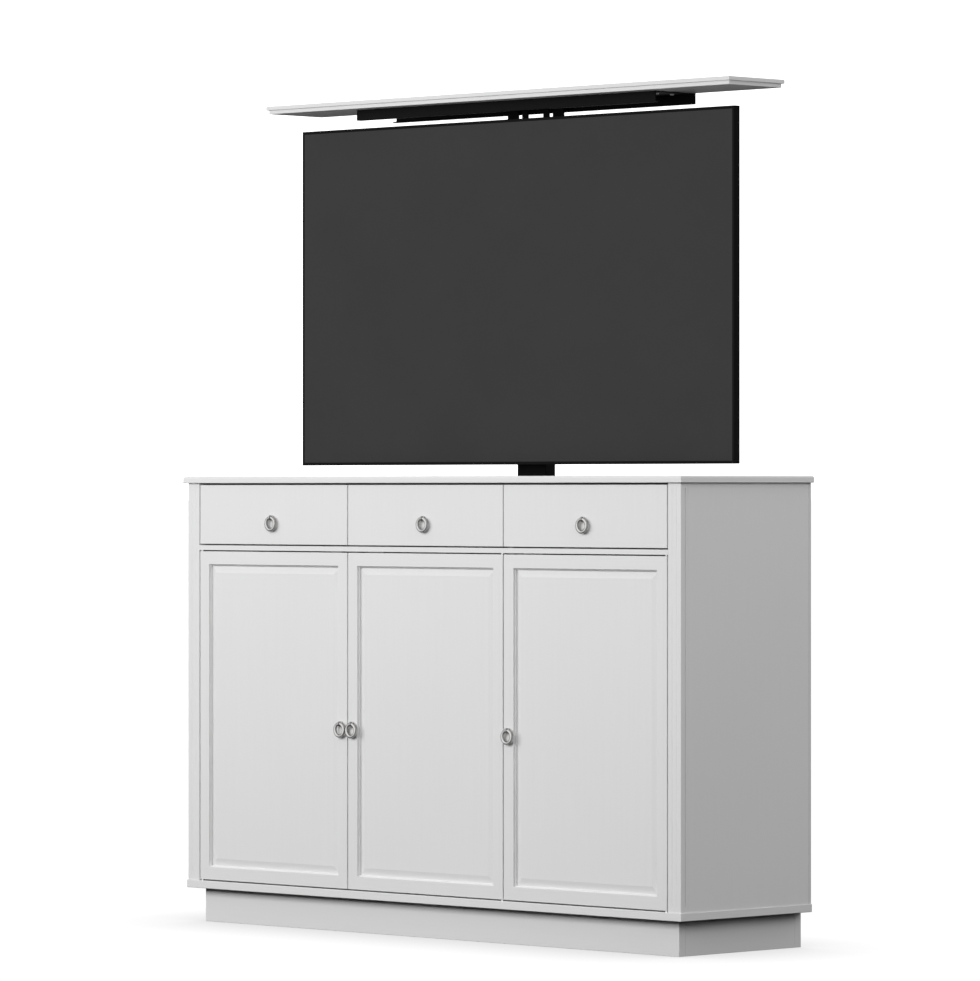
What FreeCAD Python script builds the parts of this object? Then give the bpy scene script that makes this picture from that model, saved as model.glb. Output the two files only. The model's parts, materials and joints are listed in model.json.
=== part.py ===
import FreeCAD, Part
import math
import os

# A free-standing cabinet in painted board with three drawers over three doors. A telescopic column in
# its back half lifts a flat television and the lid that closes the slot in the worktop.
#
# Units are millimetres. X runs to the right, the fronts face -Y and Z is up. The origin is on the
# floor, under the middle of the whole object. The lift stands at the top of its stroke.

# ---------------------------------------------------------------- driving dimensions
# Carcase boards
CARCASE_DEPTH = 372.0
CABINET_HEIGHT = 921.5
SIDE_THICK = 18.0
BACK_THICK = 8.0
BAY_WALL_THICK = 16.0
DIVIDER_THICK = 16.0
BOTTOM_THICK = 16.0
BOTTOM_OVERHANG = 2.0
DECK_THICK = 10.0
TOP_RAIL_DEPTH = 66.0
TOP_RAIL_HEIGHT = 21.0
CLEAT_THICK = 18.0
CLEAT_HEIGHT = 38.0
BOARD_EASE = 1.2

# Plinth
PLINTH_HEIGHT = 70.0
PLINTH_THICK = 18.0
PLINTH_FRONT_SETBACK = 24.0
PLINTH_SIDE_SETBACK = 27.0

# Worktop
WORKTOP_THICK = 13.5
WORKTOP_OVERHANG = 8.0
WORKTOP_TOP_ROUND = 4.0
WORKTOP_UNDER_ROUND = 1.5
SHADOW_GAP = 3.8

# Corner posts
POST_WIDTH = 34.0
POST_DEPTH = 20.0
FLUTE_WIDTH = 3.0
FLUTE_DEPTH = 1.0
FLUTE_STOP = 10.0
SIDE_GROOVE_INSET = 12.5
SIDE_GROOVE_WIDTH = 1.4
SIDE_GROOVE_DEPTH = 1.6

# Drawer fronts and doors
FRONT_GAP = 2.6
FRONT_THICK = 20.0
FRONT_EASE = 1.0
DRAWER_FRONT_HEIGHT = 121.7
FRONT_BACK_PLAY = 1.0

# Door frame and panel
FRAME_WIDTH = 29.0
FRAME_STEP_WIDTH = 2.0
FRAME_STEP_DEPTH = 4.7
FRAME_STEP_WALL = 4.5
PANEL_GROOVE_REACH = 8.0
PANEL_TONGUE_THICK = 6.5
PANEL_PLAY = 1.0
PANEL_BEVEL_WIDTH = 15.0
PANEL_BEVEL_RISE = 3.6

# Door pivots
PIVOT_INSET = 4.0
PIN_RADIUS = 2.0
PIN_RUNNING_FIT = 0.06
PIN_IN_DOOR = 10.0
PIN_IN_CARCASE = 6.0
PIN_END_PLAY = 1.0
COLLAR_RADIUS = 3.4
COLLAR_PLAY = 0.3

# Door catches
CATCH_WIDTH = 46.0
CATCH_DEPTH = 14.0
CATCH_HEIGHT = 13.0
CATCH_INSET = 60.0
CATCH_PLAY = 0.3

# Ring pulls
PULL_INSET = 15.4
PULL_DROP = 6.0
RING_RADIUS = 12.5
RING_WIRE_RADIUS = 3.4
RING_STANDOFF = 7.0
EYE_CLEARANCE = 0.35
EYE_RIM = 1.3
LUG_THICK = 3.0
NECK_HEIGHT = 7.0
ROSETTE_RADIUS = 5.0
ROSETTE_THICK = 1.2
TAIL_RADIUS = 2.0
TAIL_LENGTH = 12.0

# Drawer boxes and their runners
DRAWER_SIDE_PLAY = 2.1
DRAWER_REAR_PLAY = 7.5
DRAWER_TOP_PLAY = 5.0
DRAWER_LIFT = 5.0
DRAWER_WALL = 12.0
DRAWER_BOTTOM_THICK = 5.0
RUNNER_HEIGHT = 10.0
RUNNER_REACH = 5.5
RUNNER_FIT = 0.3
RUNNER_END_PLAY = 0.5
RUNNER_BATTEN_HEIGHT = 40.0

# Shelves
SHELF_THICK = 16.0
SHELF_LEVEL = 330.0
SHELF_END_PLAY = 1.0
SHELF_FRONT_INSET = 12.0
SHELF_REAR_PLAY = 5.0
SUPPORT_SIZE = 12.0

# Cable outlet in the back
OUTLET_X = 330.0
OUTLET_LEVEL = 75.0
OUTLET_BORE_RADIUS = 25.0
OUTLET_SLEEVE_WALL = 4.0
OUTLET_FLANGE_WIDTH = 5.0
OUTLET_FLANGE_THICK = 2.0

# Television
TV_WIDTH = 1228.0
TV_HEIGHT = 698.0
TV_THICK = 16.0
TV_BEZEL = 6.0
TV_FRONT_TO_BACK = 128.4
TV_BACK_SKIN = 2.5
SCREEN_THICK = 5.0
SCREEN_RECESS = 0.5
SCREEN_LEDGE = 10.0
COVER_HALF_WIDTH = 480.0
COVER_DEPTH = 22.0
COVER_WALL = 3.0
COVER_BELOW_CENTRE = 310.0
COVER_ABOVE_CENTRE = 130.0
COVER_CHAMFER = 9.0
COVER_BOSS_RADIUS = 9.0

# Television mount
MOUNT_PLATE_THICK = 4.0
SPINE_HALF_WIDTH = 70.0
ARM_HALF_LENGTH = 216.0
ARM_HEIGHT = 36.0
MOUNT_HOLE_SPACING_X = 400.0
MOUNT_HOLE_SPACING_Z = 200.0
MOUNT_SCREW_RADIUS = 3.0
MOUNT_SCREW_IN_COVER = 12.0
MOUNT_SCREW_HEAD_RADIUS = 6.0
MOUNT_SCREW_HEAD_HEIGHT = 3.5
SPINE_BELOW_ARM = 30.0
HANGER_HEIGHT = 40.0

# Lift column, from the middle tube that shows under the television
MIDDLE_TUBE_WIDTH = 80.0
MIDDLE_TUBE_DEPTH = 30.0
TUBE_WALL = 2.7
TUBE_SLIDE_FIT = 0.3
TUBE_CORNER_RADIUS = 2.4
COLUMN_TO_BACK = 54.0
STAGE_TRAVEL = 382.7
STAGE_STEP = 12.0
HANGER_STEP = 5.0
INNER_TUBE_BELOW_TV_TOP = 3.3
TUBE_FOOT_STEP = 5.0

# Lift foot, motor and control box
FOOT_HALF_WIDTH = 108.0
FOOT_HALF_DEPTH = 30.0
FOOT_THICK = 5.0
FOOT_BOLT_SPACING_X = 190.0
FOOT_BOLT_SPACING_Y = 40.0
BOLT_RADIUS = 4.0
BOLT_HEAD_ACROSS = 13.0
BOLT_HEAD_HEIGHT = 5.5
BOLT_IN_BOARD = 13.0
GEARBOX_WIDTH = 44.0
GEARBOX_HEIGHT = 52.0
MOTOR_RADIUS = 17.0
MOTOR_LENGTH = 110.0
MOTOR_CAP_RADIUS = 8.0
MOTOR_CAP_HEIGHT = 5.0
CONTROL_WIDTH = 140.0
CONTROL_HEIGHT = 70.0
CONTROL_DEPTH = 24.0
CONTROL_X = -260.0
CONTROL_LEVEL = 120.0
CONTROL_ROUND = 4.0

# Lid and its carrier
LID_PAST_TV = 44.5
CARCASE_PAST_LID = 41.5
LID_DEPTH = 160.0
LID_TO_BACK = 31.0
LID_TOP_THICK = 8.1
LID_CORE_THICK = 7.9
LID_STEP = 4.5
LID_TOP_ROUND = 2.0
LID_SLOT_CLEARANCE = 2.0
LID_SEAT_GAP = 0.7
CARRIER_HALF_LENGTH = 425.0
CARRIER_FRONT_TO_BACK = 152.0
CARRIER_HEIGHT = 21.9
CARRIER_SHEET = 2.5
CARRIER_LIP = 10.0
CARRIER_ABOVE_TV = 14.5

# Head bracket between the column and the carrier
HEAD_CAP_THICK = 4.0
HEAD_STRAP_THICK = 4.0
HEAD_STRAP_TO_BACK = 55.0
HEAD_INNER_STRAP_X = 30.0
HEAD_INNER_STRAP_WIDTH = 16.0
HEAD_OUTER_STRAP_X = 64.2
HEAD_OUTER_STRAP_WIDTH = 30.0

COLUMN_NAMES = ("left", "middle", "right")
HINGE_SIDES = (-1, 1, 1)  # the edge that each door hangs on: -1 its left one, 1 its right one

# ---------------------------------------------------------------- values that follow
EYE_RADIUS = RING_WIRE_RADIUS + EYE_CLEARANCE
PULL_REACH = RING_STANDOFF + EYE_RADIUS + EYE_RIM
FRONT_REACH = max(PULL_REACH, WORKTOP_OVERHANG)
FRONT_Y = (FRONT_REACH - CARCASE_DEPTH) / 2


def y_at(depth):
    """The Y of a plane that lies this far behind the plane of the fronts."""
    return FRONT_Y + depth


LID_LENGTH = TV_WIDTH + 2 * LID_PAST_TV
HALF_WIDTH = LID_LENGTH / 2 + CARCASE_PAST_LID
SIDE_INNER_X = HALF_WIDTH - SIDE_THICK
POST_INNER_X = HALF_WIDTH - POST_WIDTH
BACK_Y = y_at(CARCASE_DEPTH)
BACK_FACE_Y = BACK_Y - BACK_THICK
BEHIND_FRONTS_Y = y_at(FRONT_THICK + FRONT_BACK_PLAY)

FLOOR_Z = PLINTH_HEIGHT + BOTTOM_THICK
WORKTOP_UNDER_Z = CABINET_HEIGHT - WORKTOP_THICK
FLUTE_UNDER_Z = FLOOR_Z + FLUTE_STOP
FLUTE_TOP_Z = WORKTOP_UNDER_Z - FLUTE_STOP
DRAWER_FRONT_TOP_Z = WORKTOP_UNDER_Z - SHADOW_GAP
TOP_RAIL_UNDER_Z = WORKTOP_UNDER_Z - TOP_RAIL_HEIGHT
DRAWER_FRONT_UNDER_Z = DRAWER_FRONT_TOP_Z - DRAWER_FRONT_HEIGHT
DECK_TOP_Z = DRAWER_FRONT_UNDER_Z - FRONT_GAP
DECK_UNDER_Z = DECK_TOP_Z - DECK_THICK
DOOR_BOTTOM_Z = FLOOR_Z + FRONT_GAP
DOOR_TOP_Z = DECK_UNDER_Z - FRONT_GAP

COLUMN_COUNT = len(COLUMN_NAMES)
FRONT_WIDTH = (2 * POST_INNER_X - (COLUMN_COUNT + 1) * FRONT_GAP) / COLUMN_COUNT
COLUMN_PITCH = FRONT_WIDTH + FRONT_GAP
COLUMN_CENTRES = [(i - (COLUMN_COUNT - 1) / 2) * COLUMN_PITCH for i in range(COLUMN_COUNT)]
DIVIDER_CENTRES = [(a + b) / 2 for a, b in zip(COLUMN_CENTRES, COLUMN_CENTRES[1:])]

SLOT_MARGIN = LID_STEP - LID_SLOT_CLEARANCE
SLOT_HALF_LENGTH = LID_LENGTH / 2 - SLOT_MARGIN
LID_BACK_Y = BACK_Y - LID_TO_BACK
LID_FRONT_Y = LID_BACK_Y - LID_DEPTH
SLOT_FRONT_Y = LID_FRONT_Y + SLOT_MARGIN
SLOT_BACK_Y = LID_BACK_Y - SLOT_MARGIN
BAY_FACE_Y = SLOT_FRONT_Y - LID_SLOT_CLEARANCE
BAY_WALL_Y = BAY_FACE_Y - BAY_WALL_THICK

LIFT_TRAVEL = 2 * STAGE_TRAVEL
LID_TOP_UNDER_Z = CABINET_HEIGHT + LID_SEAT_GAP + LIFT_TRAVEL
LID_CORE_UNDER_Z = LID_TOP_UNDER_Z - LID_CORE_THICK
CARRIER_UNDER_Z = LID_CORE_UNDER_Z - CARRIER_HEIGHT
TV_TOP_Z = CARRIER_UNDER_Z - CARRIER_ABOVE_TV
TV_BOTTOM_Z = TV_TOP_Z - TV_HEIGHT
TV_CENTRE_Z = TV_TOP_Z - TV_HEIGHT / 2
TV_FRONT_Y = BACK_Y - TV_FRONT_TO_BACK
TV_BACK_Y = TV_FRONT_Y + TV_THICK
COVER_BACK_Y = TV_BACK_Y + COVER_DEPTH
MOUNT_BACK_Y = COVER_BACK_Y + MOUNT_PLATE_THICK

TUBE_STEP = TUBE_WALL + TUBE_SLIDE_FIT
COLUMN_Y = BACK_Y - COLUMN_TO_BACK
FOOT_TOP_Z = FLOOR_Z + FOOT_THICK
INNER_TUBE_TOP_Z = TV_TOP_Z - INNER_TUBE_BELOW_TV_TOP
HANGER_UNDER_Z = INNER_TUBE_TOP_Z - HANGER_HEIGHT
MIDDLE_TUBE_TOP_Z = HANGER_UNDER_Z - HANGER_STEP - STAGE_TRAVEL
OUTER_TUBE_TOP_Z = MIDDLE_TUBE_TOP_Z - STAGE_STEP - STAGE_TRAVEL
MIDDLE_TUBE_FOOT_Z = FOOT_TOP_Z + TUBE_FOOT_STEP + STAGE_TRAVEL
INNER_TUBE_FOOT_Z = FOOT_TOP_Z + 2 * TUBE_FOOT_STEP + LIFT_TRAVEL


SAME_PLACE = 1e-4
UP = FreeCAD.Vector(0, 0, 1)
BACKWARDS = FreeCAD.Vector(0, 1, 0)
RIGHTWARDS = FreeCAD.Vector(1, 0, 0)


# ---------------------------------------------------------------- helpers
def vec(x, y, z):
    return FreeCAD.Vector(x, y, z)


def block(x_pair, y_pair, z_pair):
    """A box between two values on each axis, given in either order."""
    low = vec(min(x_pair), min(y_pair), min(z_pair))
    high = vec(max(x_pair), max(y_pair), max(z_pair))
    size = high - low
    return Part.makeBox(size.x, size.y, size.z, low)


def about(centre, half):
    """The two values that lie this far on each side of a centre."""
    return centre - half, centre + half


def both_sides(half):
    return about(0, half)


def rod(radius, start, direction, length):
    return Part.makeCylinder(radius, length, start, direction)


def rods(radius, starts, direction, length):
    return [rod(radius, start, direction, length) for start in starts]


def group(solids):
    """Separate solids that make one node."""
    return Part.makeCompound(solids)


def edges_where(shape, test):
    """The straight edges whose two ends both pass the test."""
    chosen = []
    for edge in shape.Edges:
        if len(edge.Vertexes) == 2 and all(test(v.Point) for v in edge.Vertexes):
            chosen.append(edge)
    return chosen


def near(a, b):
    return abs(a - b) < SAME_PLACE


def is_upright(edge):
    return not near(edge.Vertexes[0].Z, edge.Vertexes[1].Z)


def stopped_flute(x):
    """An upright V-shaped cutter for a post's face, which stops short of both its ends."""
    start = vec(x, y_at(0), FLUTE_UNDER_Z)
    side = RIGHTWARDS * (FLUTE_WIDTH / 2)
    outline = [start - side, start + BACKWARDS * FLUTE_DEPTH, start + side, start - side]
    return Part.Face(Part.makePolygon(outline)).extrude(UP * (FLUTE_TOP_Z - FLUTE_UNDER_Z))


# ---------------------------------------------------------------- carcase
def side_panel(sign):
    x_pair = (sign * SIDE_INNER_X, sign * HALF_WIDTH)
    return block(x_pair, (y_at(POST_DEPTH), BACK_FACE_Y), (FLOOR_Z, WORKTOP_UNDER_Z))


def corner_post(sign):
    """The post beside the fronts, with two flutes on its face and a narrow groove in its side."""
    x_pair = (sign * POST_INNER_X, sign * HALF_WIDTH)
    post = block(x_pair, (y_at(0), y_at(POST_DEPTH)), (FLOOR_Z, WORKTOP_UNDER_Z))
    flutes = [stopped_flute(sign * (POST_INNER_X + share * POST_WIDTH)) for share in (1 / 3, 2 / 3)]
    groove_x = (sign * (HALF_WIDTH - SIDE_GROOVE_DEPTH), sign * HALF_WIDTH)
    groove_y = about(y_at(SIDE_GROOVE_INSET), SIDE_GROOVE_WIDTH / 2)
    groove = block(groove_x, groove_y, (FLUTE_UNDER_Z, FLUTE_TOP_Z))
    return post.cut(flutes + [groove])


def pivot_places(z):
    """A point on each door's pivot axis, beside the edge that the door hangs on."""
    reach = FRONT_WIDTH / 2 - PIVOT_INSET
    return [vec(c + side * reach, y_at(PIVOT_INSET), z) for c, side in zip(COLUMN_CENTRES, HINGE_SIDES)]


def foot_bolt_places(z):
    x_pair = both_sides(FOOT_BOLT_SPACING_X / 2)
    y_pair = about(COLUMN_Y, FOOT_BOLT_SPACING_Y / 2)
    return [vec(x, y, z) for x in x_pair for y in y_pair]


def bottom_panel():
    half = HALF_WIDTH + BOTTOM_OVERHANG
    front = y_at(-BOTTOM_OVERHANG)
    panel = block((-half, half), (front, BACK_Y), (PLINTH_HEIGHT, FLOOR_Z))

    def on_shown_edge(p):
        return near(p.y, front)

    def on_side_edge(p):
        return near(abs(p.x), half)

    shown = [e for e in edges_where(panel, on_shown_edge) if near(e.Vertexes[0].Z, e.Vertexes[1].Z)]
    shown += [e for e in edges_where(panel, on_side_edge) if not near(e.Vertexes[0].Y, e.Vertexes[1].Y)]
    panel = panel.makeFillet(BOARD_EASE, shown)
    pin_holes = rods(PIN_RADIUS, pivot_places(FLOOR_Z), -UP, PIN_IN_CARCASE)
    bolt_holes = rods(BOLT_RADIUS, foot_bolt_places(FLOOR_Z), -UP, BOLT_IN_BOARD)
    return panel.cut(pin_holes + bolt_holes)


def plinth():
    """A front board, a back board and the two between them, all on the floor."""
    half = HALF_WIDTH - PLINTH_SIDE_SETBACK
    front = y_at(PLINTH_FRONT_SETBACK)
    z_pair = (0, PLINTH_HEIGHT)
    between = (front + PLINTH_THICK, BACK_Y - PLINTH_THICK)
    boards = [
        block(both_sides(half), (front, between[0]), z_pair),
        block(both_sides(half), (between[1], BACK_Y), z_pair),
    ]
    for sign in (-1, 1):
        boards.append(block((sign * (half - PLINTH_THICK), sign * half), between, z_pair))
    return group(boards)


def worktop():
    half = HALF_WIDTH + WORKTOP_OVERHANG
    front = y_at(-WORKTOP_OVERHANG)
    top = block((-half, half), (front, BACK_Y), (WORKTOP_UNDER_Z, CABINET_HEIGHT))

    def rim(z):
        long_edge = edges_where(top, lambda p: near(p.y, front) and near(p.z, z))
        ends = edges_where(top, lambda p: near(abs(p.x), half) and near(p.z, z))
        return long_edge + [e for e in ends if not near(e.Vertexes[0].Y, e.Vertexes[1].Y)]

    top = top.makeFillet(WORKTOP_TOP_ROUND, rim(CABINET_HEIGHT))
    top = top.makeFillet(WORKTOP_UNDER_ROUND, rim(WORKTOP_UNDER_Z))
    slot_y = (SLOT_FRONT_Y, SLOT_BACK_Y)
    return top.cut(block(both_sides(SLOT_HALF_LENGTH), slot_y, (WORKTOP_UNDER_Z, CABINET_HEIGHT)))


def top_rails():
    """The rail behind the drawer fronts and the cleats on the sides, which carry the worktop."""
    rail_back = BEHIND_FRONTS_Y + TOP_RAIL_DEPTH
    rail_z = (TOP_RAIL_UNDER_Z, WORKTOP_UNDER_Z)
    cleat_z = (WORKTOP_UNDER_Z - CLEAT_HEIGHT, WORKTOP_UNDER_Z)
    solids = [block(both_sides(SIDE_INNER_X), (BEHIND_FRONTS_Y, rail_back), rail_z)]
    for sign in (-1, 1):
        x_pair = (sign * (SIDE_INNER_X - CLEAT_THICK), sign * SIDE_INNER_X)
        for y_pair in ((rail_back, BAY_WALL_Y), (BAY_FACE_Y, BACK_FACE_Y)):
            solids.append(block(x_pair, y_pair, cleat_z))
    return group(solids)


def outlet_disc(radius, thickness):
    """A disc on the cable outlet's axis, flush with the back of the cabinet."""
    return rod(radius, vec(OUTLET_X, BACK_Y - thickness, FLOOR_Z + OUTLET_LEVEL), BACKWARDS, thickness)


def outlet_sleeve_and_flange():
    sleeve_radius = OUTLET_BORE_RADIUS + OUTLET_SLEEVE_WALL
    sleeve = outlet_disc(sleeve_radius, BACK_THICK)
    return sleeve.fuse(outlet_disc(sleeve_radius + OUTLET_FLANGE_WIDTH, OUTLET_FLANGE_THICK))


def back_panel():
    """The back, with a stepped hole that takes the cable outlet flush."""
    panel = block(both_sides(HALF_WIDTH), (BACK_FACE_Y, BACK_Y), (FLOOR_Z, WORKTOP_UNDER_Z))
    return panel.cut(outlet_sleeve_and_flange())


def cable_grommet():
    bore = outlet_disc(OUTLET_BORE_RADIUS, BACK_THICK)
    return outlet_sleeve_and_flange().cut(bore).removeSplitter()


def bay_wall():
    return block((-SIDE_INNER_X, SIDE_INNER_X), (BAY_WALL_Y, BAY_FACE_Y), (FLOOR_Z, WORKTOP_UNDER_Z))


def divider(x):
    """One upright between two columns: a board under the drawer deck and one over it."""
    x_pair = about(x, DIVIDER_THICK / 2)
    y_pair = (BEHIND_FRONTS_Y, BAY_WALL_Y)
    under = block(x_pair, y_pair, (FLOOR_Z, DECK_UNDER_Z))
    over = block(x_pair, y_pair, (DECK_TOP_Z, TOP_RAIL_UNDER_Z))
    return group([under, over])


def drawer_deck():
    """The board between drawers and doors, whose front edge shows as a rail between the posts."""
    z_pair = (DECK_UNDER_Z, DECK_TOP_Z)
    rail = block((-POST_INNER_X, POST_INNER_X), (y_at(0), y_at(POST_DEPTH)), z_pair)
    board = block((-SIDE_INNER_X, SIDE_INNER_X), (y_at(POST_DEPTH), BAY_WALL_Y), z_pair)
    pin_holes = rods(PIN_RADIUS, pivot_places(DECK_UNDER_Z), UP, PIN_IN_CARCASE)
    return rail.fuse(board).removeSplitter().cut(pin_holes)


def column_faces(index):
    """The X of the two faces that bound a column's inside: a side panel or a divider on each hand."""
    walls = [-SIDE_INNER_X]
    for x in DIVIDER_CENTRES:
        walls.extend(about(x, DIVIDER_THICK / 2))
    walls.append(SIDE_INNER_X)
    return walls[2 * index], walls[2 * index + 1]


def shelves():
    z_pair = (FLOOR_Z + SHELF_LEVEL, FLOOR_Z + SHELF_LEVEL + SHELF_THICK)
    y_pair = (BEHIND_FRONTS_Y + SHELF_FRONT_INSET, BAY_WALL_Y - SHELF_REAR_PLAY)
    boards = []
    for index in range(COLUMN_COUNT):
        left, right = column_faces(index)
        boards.append(block((left + SHELF_END_PLAY, right - SHELF_END_PLAY), y_pair, z_pair))
    return group(boards)


def shelf_supports():
    """A batten under each end of each shelf."""
    z_pair = (FLOOR_Z + SHELF_LEVEL - SUPPORT_SIZE, FLOOR_Z + SHELF_LEVEL)
    y_pair = (BEHIND_FRONTS_Y + SHELF_FRONT_INSET + SUPPORT_SIZE, BAY_WALL_Y - SHELF_REAR_PLAY)
    battens = []
    for index in range(COLUMN_COUNT):
        left, right = column_faces(index)
        battens.append(block((left, left + SUPPORT_SIZE), y_pair, z_pair))
        battens.append(block((right - SUPPORT_SIZE, right), y_pair, z_pair))
    return group(battens)


# ---------------------------------------------------------------- drawers
def drawer_box_half_width():
    left, right = column_faces(COLUMN_COUNT // 2)
    return (right - left) / 2 - DRAWER_SIDE_PLAY


def drawer_box_z():
    return DRAWER_FRONT_UNDER_Z + DRAWER_LIFT, TOP_RAIL_UNDER_Z - DRAWER_TOP_PLAY


def runner_z():
    low, high = drawer_box_z()
    centre = (low + high) / 2
    return centre - RUNNER_HEIGHT / 2, centre + RUNNER_HEIGHT / 2


def drawer_runners():
    """A fixed tongue on each hand of each drawer, on a batten where the side panel is further off."""
    half = drawer_box_half_width()
    y_pair = (BEHIND_FRONTS_Y, BAY_WALL_Y)
    low, high = runner_z()
    middle = (low + high) / 2
    batten_z = (middle - RUNNER_BATTEN_HEIGHT / 2, middle + RUNNER_BATTEN_HEIGHT / 2)
    runners = []
    for index, centre in enumerate(COLUMN_CENTRES):
        for sign, wall in zip((-1, 1), column_faces(index)):
            box_face = centre + sign * half
            tongue_end = box_face - sign * RUNNER_REACH
            runner = block((tongue_end, wall), y_pair, (low, high))
            batten_face = box_face + sign * DRAWER_SIDE_PLAY
            if abs(wall - batten_face) > DRAWER_SIDE_PLAY:
                runner = runner.fuse(block((batten_face, wall), y_pair, batten_z)).removeSplitter()
            runners.append(runner)
    return group(runners)


def drawer_front(centre):
    y_pair = (y_at(0), y_at(FRONT_THICK))
    x_pair = (centre - FRONT_WIDTH / 2, centre + FRONT_WIDTH / 2)
    front = block(x_pair, y_pair, (DRAWER_FRONT_UNDER_Z, DRAWER_FRONT_TOP_Z))
    front = front.makeFillet(FRONT_EASE, edges_where(front, lambda p: near(p.y, y_at(0))))
    return front.cut(screw_tail(vec(centre, y_at(0), drawer_pull_z())))


def drawer_box(centre):
    """A tray of five boards behind the front, its sides grooved for the runners."""
    half = drawer_box_half_width()
    low, high = drawer_box_z()
    start = y_at(FRONT_THICK)
    end = BAY_WALL_Y - DRAWER_REAR_PLAY
    wall_z = (low + DRAWER_BOTTOM_THICK, high)
    inner = half - DRAWER_WALL
    groove_low, groove_high = runner_z()
    groove_z = (groove_low - RUNNER_FIT, groove_high + RUNNER_FIT)
    boards = [
        block((centre - half, centre + half), (start, end), (low, wall_z[0])),
        block((centre - inner, centre + inner), (start, start + DRAWER_WALL), wall_z),
        block((centre - inner, centre + inner), (end - DRAWER_WALL, end), wall_z),
    ]
    for sign in (-1, 1):
        face = centre + sign * half
        side = block((centre + sign * inner, face), (start, end), wall_z)
        groove_floor = face - sign * (RUNNER_REACH + RUNNER_END_PLAY)
        boards.append(side.cut(block((groove_floor, face), (start, end), groove_z)))
    return group(boards)


# ---------------------------------------------------------------- doors
def frame_section():
    """A frame member's section: U from its outer edge inwards, D from the face backwards."""
    step_start = FRAME_WIDTH - FRAME_STEP_WIDTH
    groove_front = FRAME_STEP_DEPTH + FRAME_STEP_WALL
    groove_back = groove_front + PANEL_TONGUE_THICK
    groove_floor = FRAME_WIDTH - PANEL_GROOVE_REACH
    ease_middle = FRONT_EASE * (1 - math.sqrt(0.5))
    corners = [
        (FRONT_EASE, step_start),
        (FRAME_STEP_DEPTH, step_start),
        (FRAME_STEP_DEPTH, FRAME_WIDTH),
        (groove_front, FRAME_WIDTH),
        (groove_front, groove_floor),
        (groove_back, groove_floor),
        (groove_back, FRAME_WIDTH),
        (FRONT_THICK, FRAME_WIDTH),
        (FRONT_THICK, 0),
        (FRONT_EASE, 0),
    ]
    points = [vec(u, d, 0) for d, u in corners]
    edges = [Part.LineSegment(a, b).toShape() for a, b in zip(points, points[1:])]
    face_start = vec(FRONT_EASE, 0, 0)
    face_end = vec(step_start - FRONT_EASE, 0, 0)
    outer_ease = Part.Arc(points[-1], vec(ease_middle, ease_middle, 0), face_start)
    inner_ease = Part.Arc(face_end, vec(step_start - ease_middle, ease_middle, 0), points[0])
    edges += [outer_ease.toShape(), Part.LineSegment(face_start, face_end).toShape(), inner_ease.toShape()]
    return Part.Face(Part.Wire(edges))


def frame_member(length):
    """A mitred member lying along +X, its outer edge on the X axis and its inner edge at +Z."""
    section = frame_section()
    # U goes to +Z and D to +Y, and the section is then drawn out along +X.
    turn = FreeCAD.Matrix(0, 0, 1, 0, 0, 1, 0, 0, 1, 0, 0, 0, 0, 0, 0, 1)
    section = section.transformGeometry(turn)
    bar = section.extrude(vec(length, 0, 0))
    short_side = (length - FRAME_WIDTH, FRAME_WIDTH)
    corners = [(0, 0), (length, 0), short_side, (FRAME_WIDTH, FRAME_WIDTH), (0, 0)]
    mitre = Part.Face(Part.makePolygon([vec(x, 0, z) for x, z in corners]))
    return bar.common(mitre.extrude(BACKWARDS * FRONT_THICK))


def door_corners(centre):
    return (centre - FRONT_WIDTH / 2, DOOR_BOTTOM_Z), (centre + FRONT_WIDTH / 2, DOOR_TOP_Z)


def door_frame(index):
    """Two stiles and two rails, mitred, bored for the pivots and for the pull."""
    (left, low), (right, high) = door_corners(COLUMN_CENTRES[index])
    runs = [
        (vec(left, 0, low), 0, right - left),
        (vec(right, 0, low), -90, high - low),
        (vec(right, 0, high), 180, right - left),
        (vec(left, 0, high), 90, high - low),
    ]
    bore_radius = PIN_RADIUS + PIN_RUNNING_FIT
    bores = [
        rod(bore_radius, pivot_places(low)[index], UP, PIN_IN_DOOR),
        rod(bore_radius, pivot_places(high)[index], -UP, PIN_IN_DOOR),
        screw_tail(vec(door_pull_x(index), y_at(0), door_pull_z())),
    ]
    members = []
    for corner, angle, length in runs:
        member = frame_member(length)
        member.rotate(vec(0, 0, 0), vec(0, 1, 0), angle)
        member.translate(corner + vec(0, y_at(0), 0))
        members.append(member.cut(bores))
    return group(members)


def door_panel(index):
    """A raised panel: a flat field, a bevel round it and a tongue in the frame's groove."""
    (left, low), (right, high) = door_corners(COLUMN_CENTRES[index])
    tongue_in = FRAME_WIDTH - PANEL_GROOVE_REACH + PANEL_PLAY
    bevel_foot = y_at(FRAME_STEP_DEPTH + FRAME_STEP_WALL)
    field_y = bevel_foot - PANEL_BEVEL_RISE
    tongue = block(
        (left + tongue_in, right - tongue_in),
        (bevel_foot, bevel_foot + PANEL_TONGUE_THICK),
        (low + tongue_in, high - tongue_in),
    )

    def loop(inset, y):
        x0, x1, z0, z1 = left + inset, right - inset, low + inset, high - inset
        corners = [(x0, z0), (x1, z0), (x1, z1), (x0, z1), (x0, z0)]
        return Part.makePolygon([vec(x, y, z) for x, z in corners])

    foot_loop = loop(FRAME_WIDTH, bevel_foot)
    field_loop = loop(FRAME_WIDTH + PANEL_BEVEL_WIDTH, field_y)
    raised = Part.makeLoft([foot_loop, field_loop], True, True)
    return tongue.fuse(raised).removeSplitter()


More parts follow.
